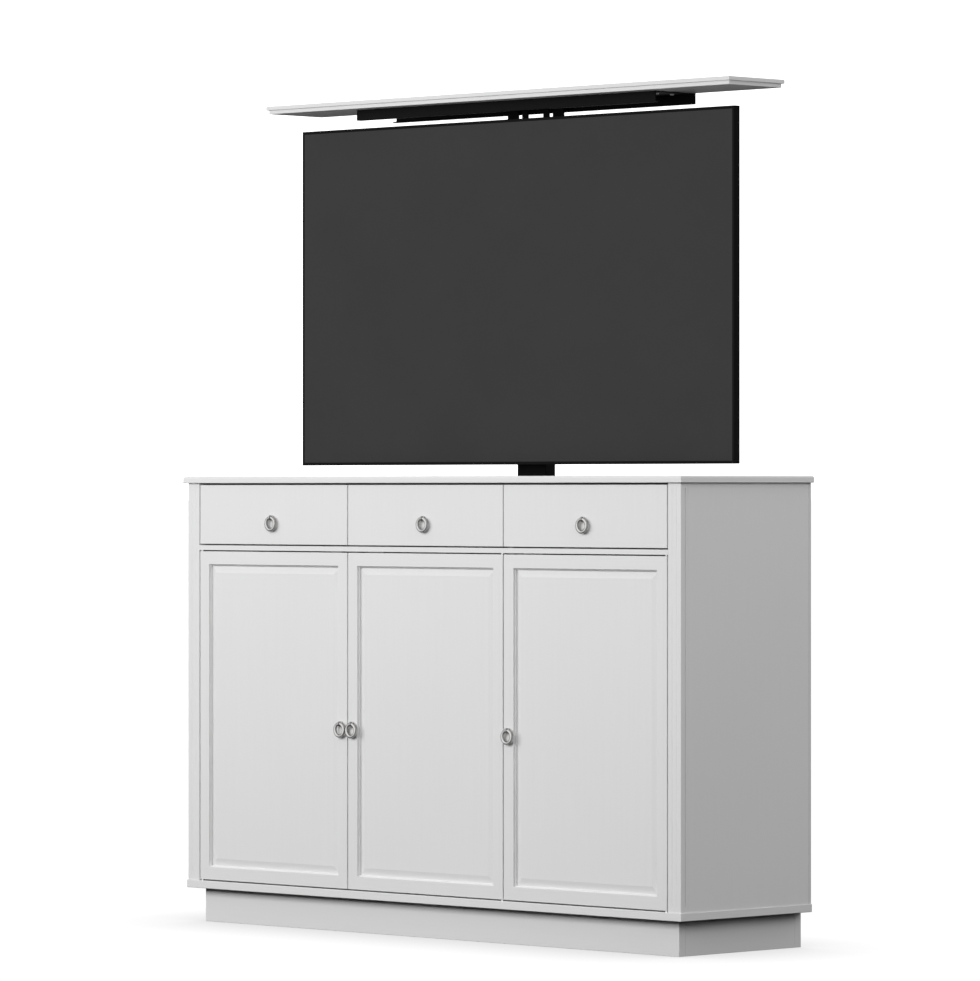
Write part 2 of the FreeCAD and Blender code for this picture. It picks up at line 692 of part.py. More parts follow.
def door_pivot_pins():
    """A collared pin under and over each door, set in the carcase. The lower collar carries the door."""
    length = PIN_IN_CARCASE + FRONT_GAP + PIN_IN_DOOR - PIN_END_PLAY
    pins = []
    for z, away in ((FLOOR_Z, UP), (DECK_UNDER_Z, -UP)):
        for seat in pivot_places(z):
            pin = rod(PIN_RADIUS, seat - away * PIN_IN_CARCASE, away, length)
            collar = rod(COLLAR_RADIUS, seat, away, FRONT_GAP - COLLAR_PLAY)
            pins.append(pin.fuse(collar).removeSplitter())
    return group(pins)


def door_catches():
    """A magnetic catch under the deck, behind the free edge of each door."""
    start = y_at(FRONT_THICK + CATCH_PLAY)
    y_pair = (start, start + CATCH_DEPTH)
    z_pair = (DECK_UNDER_Z - CATCH_HEIGHT, DECK_UNDER_Z)
    catches = []
    for centre, hinge in zip(COLUMN_CENTRES, HINGE_SIDES):
        x = centre - hinge * (FRONT_WIDTH / 2 - CATCH_INSET)
        catches.append(block(about(x, CATCH_WIDTH / 2), y_pair, z_pair))
    return group(catches)


# ---------------------------------------------------------------- ring pulls
def drawer_pull_z():
    """The level of the eye that the ring hangs from, a little under the middle of the front."""
    return (DRAWER_FRONT_UNDER_Z + DRAWER_FRONT_TOP_Z) / 2 - PULL_DROP


def door_pull_z():
    return (DOOR_BOTTOM_Z + DOOR_TOP_Z) / 2 - PULL_DROP


def door_pull_x(index):
    return COLUMN_CENTRES[index] - HINGE_SIDES[index] * (FRONT_WIDTH / 2 - PULL_INSET)


def pull_pivot(x, z):
    """The centre of the eye, where the ring turns."""
    return vec(x, y_at(-RING_STANDOFF), z)


def screw_tail(face_point):
    return rod(TAIL_RADIUS, face_point, BACKWARDS, TAIL_LENGTH)


def pull_post(x, z):
    """A rosette on the face with a screw tail behind it and an eye for the ring in front."""
    pivot = pull_pivot(x, z)
    face = vec(x, y_at(0), z)
    start = pivot - RIGHTWARDS * (LUG_THICK / 2)
    lug = rod(EYE_RADIUS + EYE_RIM, start, RIGHTWARDS, LUG_THICK)
    neck = block(about(x, LUG_THICK / 2), (pivot.y, face.y), about(z, NECK_HEIGHT / 2))
    rosette = rod(ROSETTE_RADIUS, face, -BACKWARDS, ROSETTE_THICK)
    eye = rod(EYE_RADIUS, start, RIGHTWARDS, LUG_THICK)
    return lug.fuse([neck, rosette, screw_tail(face)]).cut(eye).removeSplitter()


def pull_ring(x, z):
    """A round ring that hangs straight down from its eye."""
    centre = pull_pivot(x, z) - vec(0, 0, RING_RADIUS)
    return Part.makeTorus(RING_RADIUS, RING_WIRE_RADIUS, centre, BACKWARDS)


# ---------------------------------------------------------------- lift column
def tube(stage, z_pair):
    """A stage of the column: 1 is the outer tube, 0 the middle one and -1 the inner one.

    It is a welded box section: two wide plates with rounded outer corners and two strips between them.
    """
    half_width = MIDDLE_TUBE_WIDTH / 2 + stage * TUBE_STEP
    half_depth = MIDDLE_TUBE_DEPTH / 2 + stage * TUBE_STEP
    walls = []
    for sign in (-1, 1):
        face_y = COLUMN_Y + sign * half_depth
        plate = block(both_sides(half_width), (face_y - sign * TUBE_WALL, face_y), z_pair)
        corners = [e for e in plate.Edges if is_upright(e) and near(e.Vertexes[0].Y, face_y)]
        walls.append(plate.makeFillet(TUBE_CORNER_RADIUS, corners))
        face_x = sign * half_width
        between = about(COLUMN_Y, half_depth - TUBE_WALL)
        walls.append(block((face_x - sign * TUBE_WALL, face_x), between, z_pair))
    return group(walls)


def lift_foot():
    """The column's foot plate, bolted to the bottom panel."""
    y_pair = about(COLUMN_Y, FOOT_HALF_DEPTH)
    plate = block(both_sides(FOOT_HALF_WIDTH), y_pair, (FLOOR_Z, FOOT_TOP_Z))
    return plate.cut(rods(BOLT_RADIUS, foot_bolt_places(FLOOR_Z), UP, FOOT_THICK))


def hex_prism(centre, across_flats, height):
    radius = across_flats / math.sqrt(3)
    angles = [math.radians(60 * i) for i in range(7)]
    points = [centre + vec(math.cos(a), math.sin(a), 0) * radius for a in angles]
    return Part.Face(Part.makePolygon(points)).extrude(UP * height)


def lift_foot_bolts():
    bolts = []
    for place in foot_bolt_places(FOOT_TOP_Z):
        head = hex_prism(place, BOLT_HEAD_ACROSS, BOLT_HEAD_HEIGHT)
        shank = rod(BOLT_RADIUS, place, -UP, FOOT_THICK + BOLT_IN_BOARD)
        bolts.append(head.fuse(shank).removeSplitter())
    return group(bolts)


def lift_motor():
    """A gearbox against the outer tube, with the motor standing on it."""
    tube_face = MIDDLE_TUBE_WIDTH / 2 + TUBE_STEP
    half_depth = MIDDLE_TUBE_DEPTH / 2 + TUBE_STEP
    x_pair = (tube_face, tube_face + GEARBOX_WIDTH)
    z_pair = (FOOT_TOP_Z, FOOT_TOP_Z + GEARBOX_HEIGHT)
    gearbox = block(x_pair, about(COLUMN_Y, half_depth), z_pair)
    start = vec(tube_face + GEARBOX_WIDTH / 2, COLUMN_Y, FOOT_TOP_Z + GEARBOX_HEIGHT)
    can = rod(MOTOR_RADIUS, start, UP, MOTOR_LENGTH)
    cap = rod(MOTOR_CAP_RADIUS, start, UP, MOTOR_LENGTH + MOTOR_CAP_HEIGHT)
    return gearbox.fuse([can, cap]).removeSplitter()


def lift_control_box():
    x_pair = about(CONTROL_X, CONTROL_WIDTH / 2)
    z_pair = (FLOOR_Z + CONTROL_LEVEL, FLOOR_Z + CONTROL_LEVEL + CONTROL_HEIGHT)
    front = BACK_FACE_Y - CONTROL_DEPTH
    case = block(x_pair, (front, BACK_FACE_Y), z_pair)
    return case.makeFillet(CONTROL_ROUND, edges_where(case, lambda p: near(p.y, front)))


# ---------------------------------------------------------------- television and its mount
def tv_outline(inset):
    """The X and Z pairs of a rectangle this far inside the television's edge."""
    return both_sides(TV_WIDTH / 2 - inset), (TV_BOTTOM_Z + inset, TV_TOP_Z - inset)


def tv_case():
    """A shallow tray: a thin bezel, a ledge that the screen lies on, and a back skin."""
    front = TV_FRONT_Y
    outer_x, outer_z = tv_outline(0)
    screen_x, screen_z = tv_outline(TV_BEZEL)
    inner_x, inner_z = tv_outline(TV_BEZEL + SCREEN_LEDGE)
    ledge_y = front + SCREEN_RECESS + SCREEN_THICK
    case = block(outer_x, (front, TV_BACK_Y), outer_z)
    case = case.makeFillet(FRONT_EASE, edges_where(case, lambda p: near(p.y, front)))
    case = case.cut(block(screen_x, (front, ledge_y), screen_z))
    return case.cut(block(inner_x, (ledge_y, TV_BACK_Y - TV_BACK_SKIN), inner_z))


def tv_screen():
    x_pair, z_pair = tv_outline(TV_BEZEL)
    front = TV_FRONT_Y + SCREEN_RECESS
    return block(x_pair, (front, front + SCREEN_THICK), z_pair)


def mount_hole_places(y):
    x_pair = both_sides(MOUNT_HOLE_SPACING_X / 2)
    z_pair = about(TV_CENTRE_Z, MOUNT_HOLE_SPACING_Z / 2)
    return [vec(x, y, z) for x in x_pair for z in z_pair]


def tv_rear_cover():
    """The deeper shell on the television's back, with a boss behind each mounting screw."""
    z_pair = (TV_CENTRE_Z - COVER_BELOW_CENTRE, TV_CENTRE_Z + COVER_ABOVE_CENTRE)
    shell = block(both_sides(COVER_HALF_WIDTH), (TV_BACK_Y, COVER_BACK_Y), z_pair)
    shell = shell.makeChamfer(COVER_CHAMFER, edges_where(shell, lambda p: near(p.y, COVER_BACK_Y)))
    margin = COVER_WALL + COVER_CHAMFER
    hollow_z = (z_pair[0] + margin, z_pair[1] - margin)
    hollow = block(both_sides(COVER_HALF_WIDTH - margin), (TV_BACK_Y, COVER_BACK_Y - COVER_WALL), hollow_z)
    bosses = rods(COVER_BOSS_RADIUS, mount_hole_places(TV_BACK_Y), BACKWARDS, COVER_DEPTH)
    holes = rods(MOUNT_SCREW_RADIUS, mount_hole_places(COVER_BACK_Y), -BACKWARDS, MOUNT_SCREW_IN_COVER)
    return shell.cut(hollow).fuse(bosses).cut(holes)


def tv_mount():
    """A spine with two cross arms for the television, and the hanger that joins it to the inner tube."""
    y_pair = (COVER_BACK_Y, MOUNT_BACK_Y)
    arm_levels = about(TV_CENTRE_Z, MOUNT_HOLE_SPACING_Z / 2)
    spine_z = (arm_levels[0] - SPINE_BELOW_ARM, INNER_TUBE_TOP_Z)
    spine = block(both_sides(SPINE_HALF_WIDTH), y_pair, spine_z)
    arms = [block(both_sides(ARM_HALF_LENGTH), y_pair, about(z, ARM_HEIGHT / 2)) for z in arm_levels]
    hanger_y = (MOUNT_BACK_Y, COLUMN_Y - MIDDLE_TUBE_DEPTH / 2 + TUBE_STEP)
    hanger_x = both_sides(MIDDLE_TUBE_WIDTH / 2 - TUBE_STEP)
    hanger = block(hanger_x, hanger_y, (HANGER_UNDER_Z, INNER_TUBE_TOP_Z))
    holes = rods(MOUNT_SCREW_RADIUS, mount_hole_places(COVER_BACK_Y), BACKWARDS, MOUNT_PLATE_THICK)
    return spine.fuse(arms + [hanger]).removeSplitter().cut(holes)


def tv_mount_screws():
    screws = []
    for seat in mount_hole_places(MOUNT_BACK_Y):
        shank = rod(MOUNT_SCREW_RADIUS, seat, -BACKWARDS, MOUNT_SCREW_IN_COVER + MOUNT_PLATE_THICK)
        head = rod(MOUNT_SCREW_HEAD_RADIUS, seat, BACKWARDS, MOUNT_SCREW_HEAD_HEIGHT)
        screws.append(shank.fuse(head).removeSplitter())
    return group(screws)


# ---------------------------------------------------------------- lid and its carrier
def head_bracket():
    """A cap on the inner tube with four straps that run up to the carrier."""
    reach = HEAD_OUTER_STRAP_X + HEAD_OUTER_STRAP_WIDTH / 2
    cap_y = about(COLUMN_Y, MIDDLE_TUBE_DEPTH / 2 - TUBE_STEP)
    cap = block(both_sides(reach), cap_y, (INNER_TUBE_TOP_Z, INNER_TUBE_TOP_Z + HEAD_CAP_THICK))
    strap_y = about(BACK_Y - HEAD_STRAP_TO_BACK, HEAD_STRAP_THICK / 2)
    strap_z = (INNER_TUBE_TOP_Z, LID_CORE_UNDER_Z - CARRIER_SHEET)
    inner = (HEAD_INNER_STRAP_X, HEAD_INNER_STRAP_WIDTH)
    outer = (HEAD_OUTER_STRAP_X, HEAD_OUTER_STRAP_WIDTH)
    straps = []
    for x, width in (inner, outer):
        for sign in (-1, 1):
            straps.append(block(about(sign * x, width / 2), strap_y, strap_z))
    return cap.fuse(straps).removeSplitter()


def lid_carrier():
    """A shallow channel, open side down, with its lips turned in, that carries the lid."""
    front = BACK_Y - CARRIER_FRONT_TO_BACK
    back = LID_BACK_Y - LID_STEP
    x_pair = both_sides(CARRIER_HALF_LENGTH)
    channel = block(x_pair, (front, back), (CARRIER_UNDER_Z, LID_CORE_UNDER_Z))
    lip_top = CARRIER_UNDER_Z + CARRIER_SHEET
    inside_y = (front + CARRIER_SHEET, back - CARRIER_SHEET)
    inside = block(x_pair, inside_y, (lip_top, LID_CORE_UNDER_Z - CARRIER_SHEET))
    mouth_y = (inside_y[0] + CARRIER_LIP, inside_y[1] - CARRIER_LIP)
    return channel.cut([inside, block(x_pair, mouth_y, (CARRIER_UNDER_Z, lip_top))])


def lid_layer(inset, z_pair):
    y_pair = (LID_FRONT_Y + inset, LID_BACK_Y - inset)
    return block(both_sides(LID_LENGTH / 2 - inset), y_pair, z_pair)


def lid_core():
    return lid_layer(LID_STEP, (LID_CORE_UNDER_Z, LID_TOP_UNDER_Z))


def lid_top():
    top_z = LID_TOP_UNDER_Z + LID_TOP_THICK
    board = lid_layer(0, (LID_TOP_UNDER_Z, top_z))
    return board.makeFillet(LID_TOP_ROUND, edges_where(board, lambda p: near(p.z, top_z)))


# ---------------------------------------------------------------- assembly
def carcase_nodes():
    return {
        "side_panel_left": side_panel(-1),
        "side_panel_right": side_panel(1),
        "corner_post_left": corner_post(-1),
        "corner_post_right": corner_post(1),
        "bottom_panel": bottom_panel(),
        "plinth": plinth(),
        "worktop": worktop(),
        "top_rails": top_rails(),
        "back_panel": back_panel(),
        "bay_wall": bay_wall(),
        "divider_left": divider(DIVIDER_CENTRES[0]),
        "divider_right": divider(DIVIDER_CENTRES[-1]),
        "drawer_deck": drawer_deck(),
        "shelves": shelves(),
        "shelf_supports": shelf_supports(),
        "drawer_runners": drawer_runners(),
        "door_pivot_pins": door_pivot_pins(),
        "door_catches": door_catches(),
        "cable_grommet": cable_grommet(),
    }


def lift_nodes():
    return {
        "lift_foot": lift_foot(),
        "lift_foot_bolts": lift_foot_bolts(),
        "lift_outer_tube": tube(1, (FOOT_TOP_Z, OUTER_TUBE_TOP_Z)),
        "lift_middle_tube": tube(0, (MIDDLE_TUBE_FOOT_Z, MIDDLE_TUBE_TOP_Z)),
        "lift_inner_tube": tube(-1, (INNER_TUBE_FOOT_Z, INNER_TUBE_TOP_Z)),
        "lift_motor": lift_motor(),
        "lift_control_box": lift_control_box(),
        "tv_case": tv_case(),
        "tv_screen": tv_screen(),
        "tv_rear_cover": tv_rear_cover(),
        "tv_mount": tv_mount(),
        "tv_mount_screws": tv_mount_screws(),
        "head_bracket": head_bracket(),
        "lid_carrier": lid_carrier(),
        "lid_core": lid_core(),
        "lid_top": lid_top(),
    }


def front_nodes():
    nodes = {}
    for index, (name, centre) in enumerate(zip(COLUMN_NAMES, COLUMN_CENTRES)):
        nodes["drawer_front_" + name] = drawer_front(centre)
        nodes["drawer_box_" + name] = drawer_box(centre)
        nodes["drawer_pull_post_" + name] = pull_post(centre, drawer_pull_z())
        nodes["drawer_pull_ring_" + name] = pull_ring(centre, drawer_pull_z())
        nodes["door_frame_" + name] = door_frame(index)
        nodes["door_panel_" + name] = door_panel(index)
        nodes["door_pull_post_" + name] = pull_post(door_pull_x(index), door_pull_z())
        nodes["door_pull_ring_" + name] = pull_ring(door_pull_x(index), door_pull_z())
    return nodes


def build():
    nodes = carcase_nodes()
    nodes.update(lift_nodes())
    nodes.update(front_nodes())
    return nodes


def write_parts(nodes):
    os.makedirs("parts", exist_ok=True)
    for name, shape in nodes.items():
        shape.exportStep("parts/" + name + ".step")
    print(len(nodes), "nodes written")


write_parts(build())
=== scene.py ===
# %% [markdown]
# # A cabinet that lifts a television
# This notebook dresses a cabinet whose construction is already fixed: every board, pin and tube comes
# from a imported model, in metres, with +Z up and the fronts facing -Y. Blender adds what the model
# leaves plain, which is the finishes, the softened edges and the small fittings. It never moves or
# resizes what it was given.

# %% Load the frame
import json
import math

import bmesh
import bpy
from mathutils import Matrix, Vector


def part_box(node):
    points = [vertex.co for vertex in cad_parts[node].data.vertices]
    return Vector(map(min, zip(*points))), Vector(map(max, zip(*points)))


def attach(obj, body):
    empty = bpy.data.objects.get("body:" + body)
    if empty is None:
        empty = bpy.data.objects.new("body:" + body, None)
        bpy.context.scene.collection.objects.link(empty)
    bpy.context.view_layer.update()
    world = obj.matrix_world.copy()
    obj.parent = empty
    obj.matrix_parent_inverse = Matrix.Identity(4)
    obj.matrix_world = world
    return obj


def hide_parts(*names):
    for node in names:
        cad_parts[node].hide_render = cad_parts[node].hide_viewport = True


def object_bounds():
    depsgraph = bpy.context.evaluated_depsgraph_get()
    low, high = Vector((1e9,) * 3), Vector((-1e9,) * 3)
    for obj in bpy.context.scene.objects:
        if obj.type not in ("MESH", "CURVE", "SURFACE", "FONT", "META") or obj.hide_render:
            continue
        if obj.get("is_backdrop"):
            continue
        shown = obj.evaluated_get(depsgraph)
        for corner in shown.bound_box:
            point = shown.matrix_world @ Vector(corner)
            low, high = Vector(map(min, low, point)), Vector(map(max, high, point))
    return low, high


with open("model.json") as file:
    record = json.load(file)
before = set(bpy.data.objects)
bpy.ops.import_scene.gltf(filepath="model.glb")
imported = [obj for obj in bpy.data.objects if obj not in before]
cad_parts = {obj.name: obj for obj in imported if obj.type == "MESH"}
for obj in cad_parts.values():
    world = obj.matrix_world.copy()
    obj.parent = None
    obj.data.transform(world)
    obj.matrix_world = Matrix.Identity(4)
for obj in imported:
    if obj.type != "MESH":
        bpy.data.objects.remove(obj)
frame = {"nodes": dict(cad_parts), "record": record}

cad_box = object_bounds()
nodes = frame["nodes"]
scene = bpy.context.scene
MM = 0.001
X, Y, Z = Vector((1, 0, 0)), Vector((0, 1, 0)), Vector((0, 0, 1))

# %% [markdown]
# ## Where to stand
# A piece of furniture is usually shown from far away with a long lens, so that its upright edges stay
# upright. The camera looks level, at 45 degrees to the fronts, from a little under the worktop. A
# nearer camera with a wide lens would show more drama, but it bends the proportions of the doors.
# %% Camera
IMAGE_WIDTH = 980
FOCAL_PIXELS = 5930.0
SENSOR = 36.0
CAMERA_PLACE = (8.443, -8.438, 0.893)
CAMERA_TURN = math.radians(45)
CAMERA_LEVEL = math.radians(90)
CLIP_END = 1000.0

camera_data = bpy.data.cameras.new("camera")
camera_data.sensor_fit = "HORIZONTAL"
camera_data.sensor_width = SENSOR
camera_data.lens = FOCAL_PIXELS * SENSOR / IMAGE_WIDTH
camera_data.clip_end = CLIP_END
camera = bpy.data.objects.new("camera", camera_data)
camera.location = CAMERA_PLACE
camera.rotation_euler = (CAMERA_LEVEL, 0, CAMERA_TURN)
scene.collection.objects.link(camera)
scene.camera = camera
print("lens %.1f mm" % camera_data.lens)

# %% [markdown]
# ## The floor
# A studio floor for furniture is burnt out to white, and all that is left of it is the soft dark line
# where the plinth meets it. A lit white plane could do that, but it would also throw light back up the
# fronts. Here the floor glows by itself, an ambient occlusion node dims the glow near the plinth as a
# painted contact shadow, and the plane is left out of the bounces.
# %% Floor
FLOOR_REACH = 400.0
FLOOR_GLOW = 1.04
CONTACT_REACH = 0.3
CONTACT_GLOW = 0.76
CONTACT_SAMPLES = 16
BESIDE_A_WALL = 0.5  # what occlusion reads on a floor right against an upright wall


def studio_plane(name, half_x, half_y, level):
    """A level plane with a finish that doesn't shine, for the stage."""
    mesh = bpy.data.meshes.new(name)
    corners = [(-half_x, -half_y), (half_x, -half_y), (half_x, half_y), (-half_x, half_y)]
    mesh.from_pydata([(x, y, level) for x, y in corners], [], [(0, 1, 2, 3)])
    plane = bpy.data.objects.new(name, mesh)
    scene.collection.objects.link(plane)
    material = bpy.data.materials.new(name)
    material.use_nodes = True
    mesh.materials.append(material)
    shader = material.node_tree.nodes["Principled BSDF"]
    shader.inputs["Specular IOR Level"].default_value = 0.0
    return plane, material.node_tree, shader


floor, floor_tree, floor_shader = studio_plane("studio_floor", FLOOR_REACH, FLOOR_REACH, 0)
floor.visible_diffuse = False
floor.visible_glossy = False
floor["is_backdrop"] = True
floor_shader.inputs["Base Color"].default_value = (0, 0, 0, 1)
floor_shader.inputs["Emission Strength"].default_value = FLOOR_GLOW
# painted contact shadow: occlusion dims the floor's glow near the plinth
contact_shadow_ao = floor_tree.nodes.new("ShaderNodeAmbientOcclusion")
contact_shadow_ao.inputs["Distance"].default_value = CONTACT_REACH
contact_shadow_ao.samples = CONTACT_SAMPLES
contact_shadow_tone = floor_tree.nodes.new("ShaderNodeMapRange")
contact_shadow_tone.inputs["From Min"].default_value = BESIDE_A_WALL
contact_shadow_tone.inputs["To Min"].default_value = CONTACT_GLOW
floor_tree.links.new(contact_shadow_ao.outputs["AO"], contact_shadow_tone.inputs["Value"])
floor_tree.links.new(contact_shadow_tone.outputs["Result"], floor_shader.inputs["Emission Color"])
print("floor of %.0f m" % (2 * FLOOR_REACH))

# %% [markdown]
# ### A dark mat
# The floor next to a cabinet lies in the cabinet's own shade, so hardly any light comes up from it.
# This mat stands for that shade. Only soft bounced light meets it: the camera, the reflections and the
# shadows pass through it. Painting the floor dark would do the same, but it would be seen.
# %% Dark mat
MAT_REACH = 0.55
MAT_LEVEL = 0.0005
MAT_TONE = 0.01
FOOTPRINT_HALF_X = 0.708
FOOTPRINT_HALF_Y = 0.192

mat_half = (FOOTPRINT_HALF_X + MAT_REACH, FOOTPRINT_HALF_Y + MAT_REACH)
mat, _, mat_shader = studio_plane("studio_mat", *mat_half, MAT_LEVEL)
mat.visible_camera = False
mat.visible_glossy = False
mat.visible_shadow = False
mat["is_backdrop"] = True
mat_shader.inputs["Base Color"].default_value = (MAT_TONE, MAT_TONE, MAT_TONE, 1)
print("mat reaches", [round(v, 3) for v in mat_half])

# %% [markdown]
# ## Numbers that flow through nodes
# The dome, the groups and the finishes are all node trees, and three small moves come back in them:
# link or type a value, step softly between two values, and mix two values. As functions they leave one
# line for each step, which is easier to compare than trees wired by hand.
# %% Node helpers


def plug(tree, value, socket):
    """Links a value to a socket when it comes from a node, and sets it when it is a plain number."""
    if hasattr(value, "is_linked"):
        tree.links.new(value, socket)
    else:
        socket.default_value = value


def rise(tree, value, low, high, start, end):
    """A soft step from start to end while the value goes from low to high."""
    node = tree.nodes.new("ShaderNodeMapRange")
    node.interpolation_type = "SMOOTHSTEP"
    plug(tree, value, node.inputs["Value"])
    for name, number in (("From Min", low), ("From Max", high), ("To Min", start), ("To Max", end)):
        plug(tree, number, node.inputs[name])
    return node.outputs["Result"]


def between(tree, factor, a, b):
    """A number that goes from a to b with the factor."""
    node = tree.nodes.new("ShaderNodeMix")
    for name, value in (("Factor", factor), ("A", a), ("B", b)):
        plug(tree, value, node.inputs[name])
    return node.outputs["Result"]


print("node helpers:", plug.__name__, rise.__name__, between.__name__)

# %% [markdown]
# ## The light
# A dome fills the shadows. It starts a little above the horizon and is almost dark below, because a
# shaded floor sends little light up, and so the line under the base stays dark. It is stronger behind,
# so that the back can be looked at. Metal and glass mirror a dome of their own, bright towards the
# front, middling behind and dark elsewhere, because a ring that mirrors an even white room loses its
# edges. A picture of a real room would bring more detail, but also its colours and lamps.
# %% Dome
SKY = 0.42
SKY_BEHIND = 1.3
UNDER = 0.01
SHINE = 1.9
SHINE_DARK = 0.12
SHINE_BEHIND = 0.8
SHINE_FROM = (-0.02, -0.93, 0.36)
BACKDROP = 1.6
SKY_RISE = (0.04, 0.22)
BEHIND_RISE = (0.15, 0.8)
SHINE_RISE = (0.25, 0.8)
REAR_RISE = (0.5, 0.95)

world = bpy.data.worlds.new("studio")
scene.world = world
world.use_nodes = True
sky_tree = world.node_tree
background = sky_tree.nodes["Background"]
background.inputs["Color"].default_value = (1, 1, 1, 1)
direction = sky_tree.nodes.new("ShaderNodeTexCoord")
split = sky_tree.nodes.new("ShaderNodeSeparateXYZ")
sky_tree.links.new(direction.outputs["Generated"], split.inputs[0])

height = split.outputs["Z"]
above = rise(sky_tree, height, *SKY_RISE, 0.0, 1.0)
behind = rise(sky_tree, split.outputs["Y"], *BEHIND_RISE, SKY, SKY_BEHIND)
lit = between(sky_tree, above, UNDER, behind)
facing = sky_tree.nodes.new("ShaderNodeVectorMath")
facing.operation = "DOT_PRODUCT"
sky_tree.links.new(direction.outputs["Generated"], facing.inputs[0])
facing.inputs[1].default_value = SHINE_FROM
mirrored = rise(sky_tree, facing.outputs["Value"], *SHINE_RISE, SHINE_DARK, SHINE)
rear_side = rise(sky_tree, split.outputs["Y"], *REAR_RISE, 0.0, 1.0)
mirrored = between(sky_tree, rear_side, mirrored, SHINE_BEHIND)
ray = sky_tree.nodes.new("ShaderNodeLightPath")
lit = between(sky_tree, ray.outputs["Is Glossy Ray"], lit, mirrored)
lit = between(sky_tree, ray.outputs["Is Camera Ray"], lit, BACKDROP)
sky_tree.links.new(lit, background.inputs["Strength"])
print("dome", SKY, "behind", SKY_BEHIND)

# %% [markdown]
# ### Soft boxes
# Two long boxes do most of the lighting: a strong one before the fronts, and a much weaker one nearer
# to the right side. Their light comes in a little from above, so each overhang leaves a narrow shadow,
# and being near they let the tone fall off towards the floor. One box for both could not balance the
# front against the side.
# %% Soft boxes
# name, place, the point it faces, width and height in metres, power in watts
SOFT_BOXES = [
    ("front_box", (-0.9, -3.4, 1.7), (-0.9, 0, 0.9), (6.0, 1.6), 130.0),
    ("side_box", (2.9, 0.2, 1.6), (0, 0, 0.9), (3.4, 1.2), 17.5),
]


def soft_box(name, place, toward, size, power):
    """A large area light that neither the camera nor a reflection sees."""
    data = bpy.data.lights.new(name, "AREA")
    data.shape = "RECTANGLE"
    data.size, data.size_y = size
    data.energy = power
    light = bpy.data.objects.new(name, data)
    light.location = place
    light.rotation_euler = (Vector(place) - Vector(toward)).to_track_quat("Z", "Y").to_euler()
    light.visible_camera = False
    light.visible_glossy = False
    scene.collection.objects.link(light)


for box in SOFT_BOXES:
    soft_box(*box)
scene.view_settings.view_transform = "Standard"
scene.view_settings.look = "None"
print("soft boxes:", [box[0] for box in SOFT_BOXES])

# %% [markdown]
# ## Effects that several finishes share
# Paint, powder coat, moulded plastic and polished metal all have something that changes over their
# surface, and none of it needs a picture. Each effect below is a node group with named sockets. It
# reads Object coordinates, which are metres on this cabinet, so that a grain size can be given as the
# real one. Every finish places the group with its own values.
# %% A maker of groups


def new_group(name, inputs, outputs):
    """An empty node group. The inputs are name, socket type and default value."""
    group = bpy.data.node_groups.new(name, "ShaderNodeTree")
    for label, kind, value in inputs:
        socket = group.interface.new_socket(label, in_out="INPUT", socket_type="NodeSocket" + kind)
        socket.default_value = value
    for label, kind in outputs:
        group.interface.new_socket(label, in_out="OUTPUT", socket_type="NodeSocket" + kind)
    return group, group.nodes.new("NodeGroupInput"), group.nodes.new("NodeGroupOutput")


print("groups so far:", len(bpy.data.node_groups))

# %% [markdown]
# A few nodes come back in every group: noise, a mix of two colours, the coordinates, their stretch
# along one axis, and a weighed sum. Each is a function that returns the socket to go on from.
# %% Nodes that the groups are made of


def noise(tree, vector, scale, detail=2.0, rough=0.5):
    """Noise around 0.5, with a scale in grains to the metre."""
    node = tree.nodes.new("ShaderNodeTexNoise")
    plug(tree, vector, node.inputs["Vector"])
    plug(tree, scale, node.inputs["Scale"])
    node.inputs["Detail"].default_value = detail
    node.inputs["Roughness"].default_value = rough
    return node.outputs["Fac"]


def blend_tone(tree, factor, a, b):
    """A colour that goes from a to b with the factor."""
    node = tree.nodes.new("ShaderNodeMix")
    node.data_type = "RGBA"
    plug(tree, factor, node.inputs["Factor"])
    plug(tree, a, node.inputs[6])
    plug(tree, b, node.inputs[7])
    return node.outputs[2]


def here(tree):
    """Object coordinates: metres, whatever the surface."""
    return tree.nodes.new("ShaderNodeTexCoord").outputs["Object"]


def stretched(tree, vector, stretch):
    """The same coordinates with each axis scaled by its own amount."""
    node = tree.nodes.new("ShaderNodeVectorMath")
    node.operation = "MULTIPLY"
    plug(tree, vector, node.inputs[0])
    plug(tree, stretch, node.inputs[1])
    return node.outputs["Vector"]


def weighed(tree, a, weight, b):
    """a times a fixed weight, plus b."""
    node = tree.nodes.new("ShaderNodeMath")
    node.operation = "MULTIPLY_ADD"
    plug(tree, a, node.inputs[0])
    node.inputs[1].default_value = weight
    plug(tree, b, node.inputs[2])
    return node.outputs["Value"]


print("helpers:", [f.__name__ for f in (noise, blend_tone, here, stretched, weighed)])

# %% [markdown]
# ### Sprayed paint
# The boards are painted with a sprayed satin lacquer. It dries with a very fine orange peel, the board
# under it still shows as faint lines along its length, and the tone drifts a little from place to
# place. One stretched noise gives the lines, a fine one the peel and a wide one the drift.
# %% Group: sprayed paint
paint_film, given, out = new_group(
    "paint_film",
    [("Pale", "Color", (0.8, 0.8, 0.8, 1)), ("Deep", "Color", (0.77, 0.77, 0.77, 1)),
     ("Lines", "Vector", (260, 260, 5)), ("Peel", "Float", 900.0)],
    [("Color", "Color"), ("Roughness", "Float"), ("Height", "Float")],
)
place = here(paint_film)
lines = noise(paint_film, stretched(paint_film, place, given.outputs["Lines"]), 1.0, 4.0, 0.6)
peel = noise(paint_film, place, given.outputs["Peel"], 1.0)
drift = noise(paint_film, place, 3.0, 1.0)
tone = weighed(paint_film, lines, 0.55, weighed(paint_film, drift, 0.45, 0.0))
tone = rise(paint_film, tone, 0.3, 0.7, 0.0, 1.0)
mixed = blend_tone(paint_film, tone, given.outputs["Deep"], given.outputs["Pale"])
plug(paint_film, mixed, out.inputs["Color"])
dull = weighed(paint_film, peel, 0.12, weighed(paint_film, lines, 0.1, 0.36))
plug(paint_film, dull, out.inputs["Roughness"])
relief = weighed(paint_film, lines, 0.5, weighed(paint_film, peel, 0.5, 0.0))
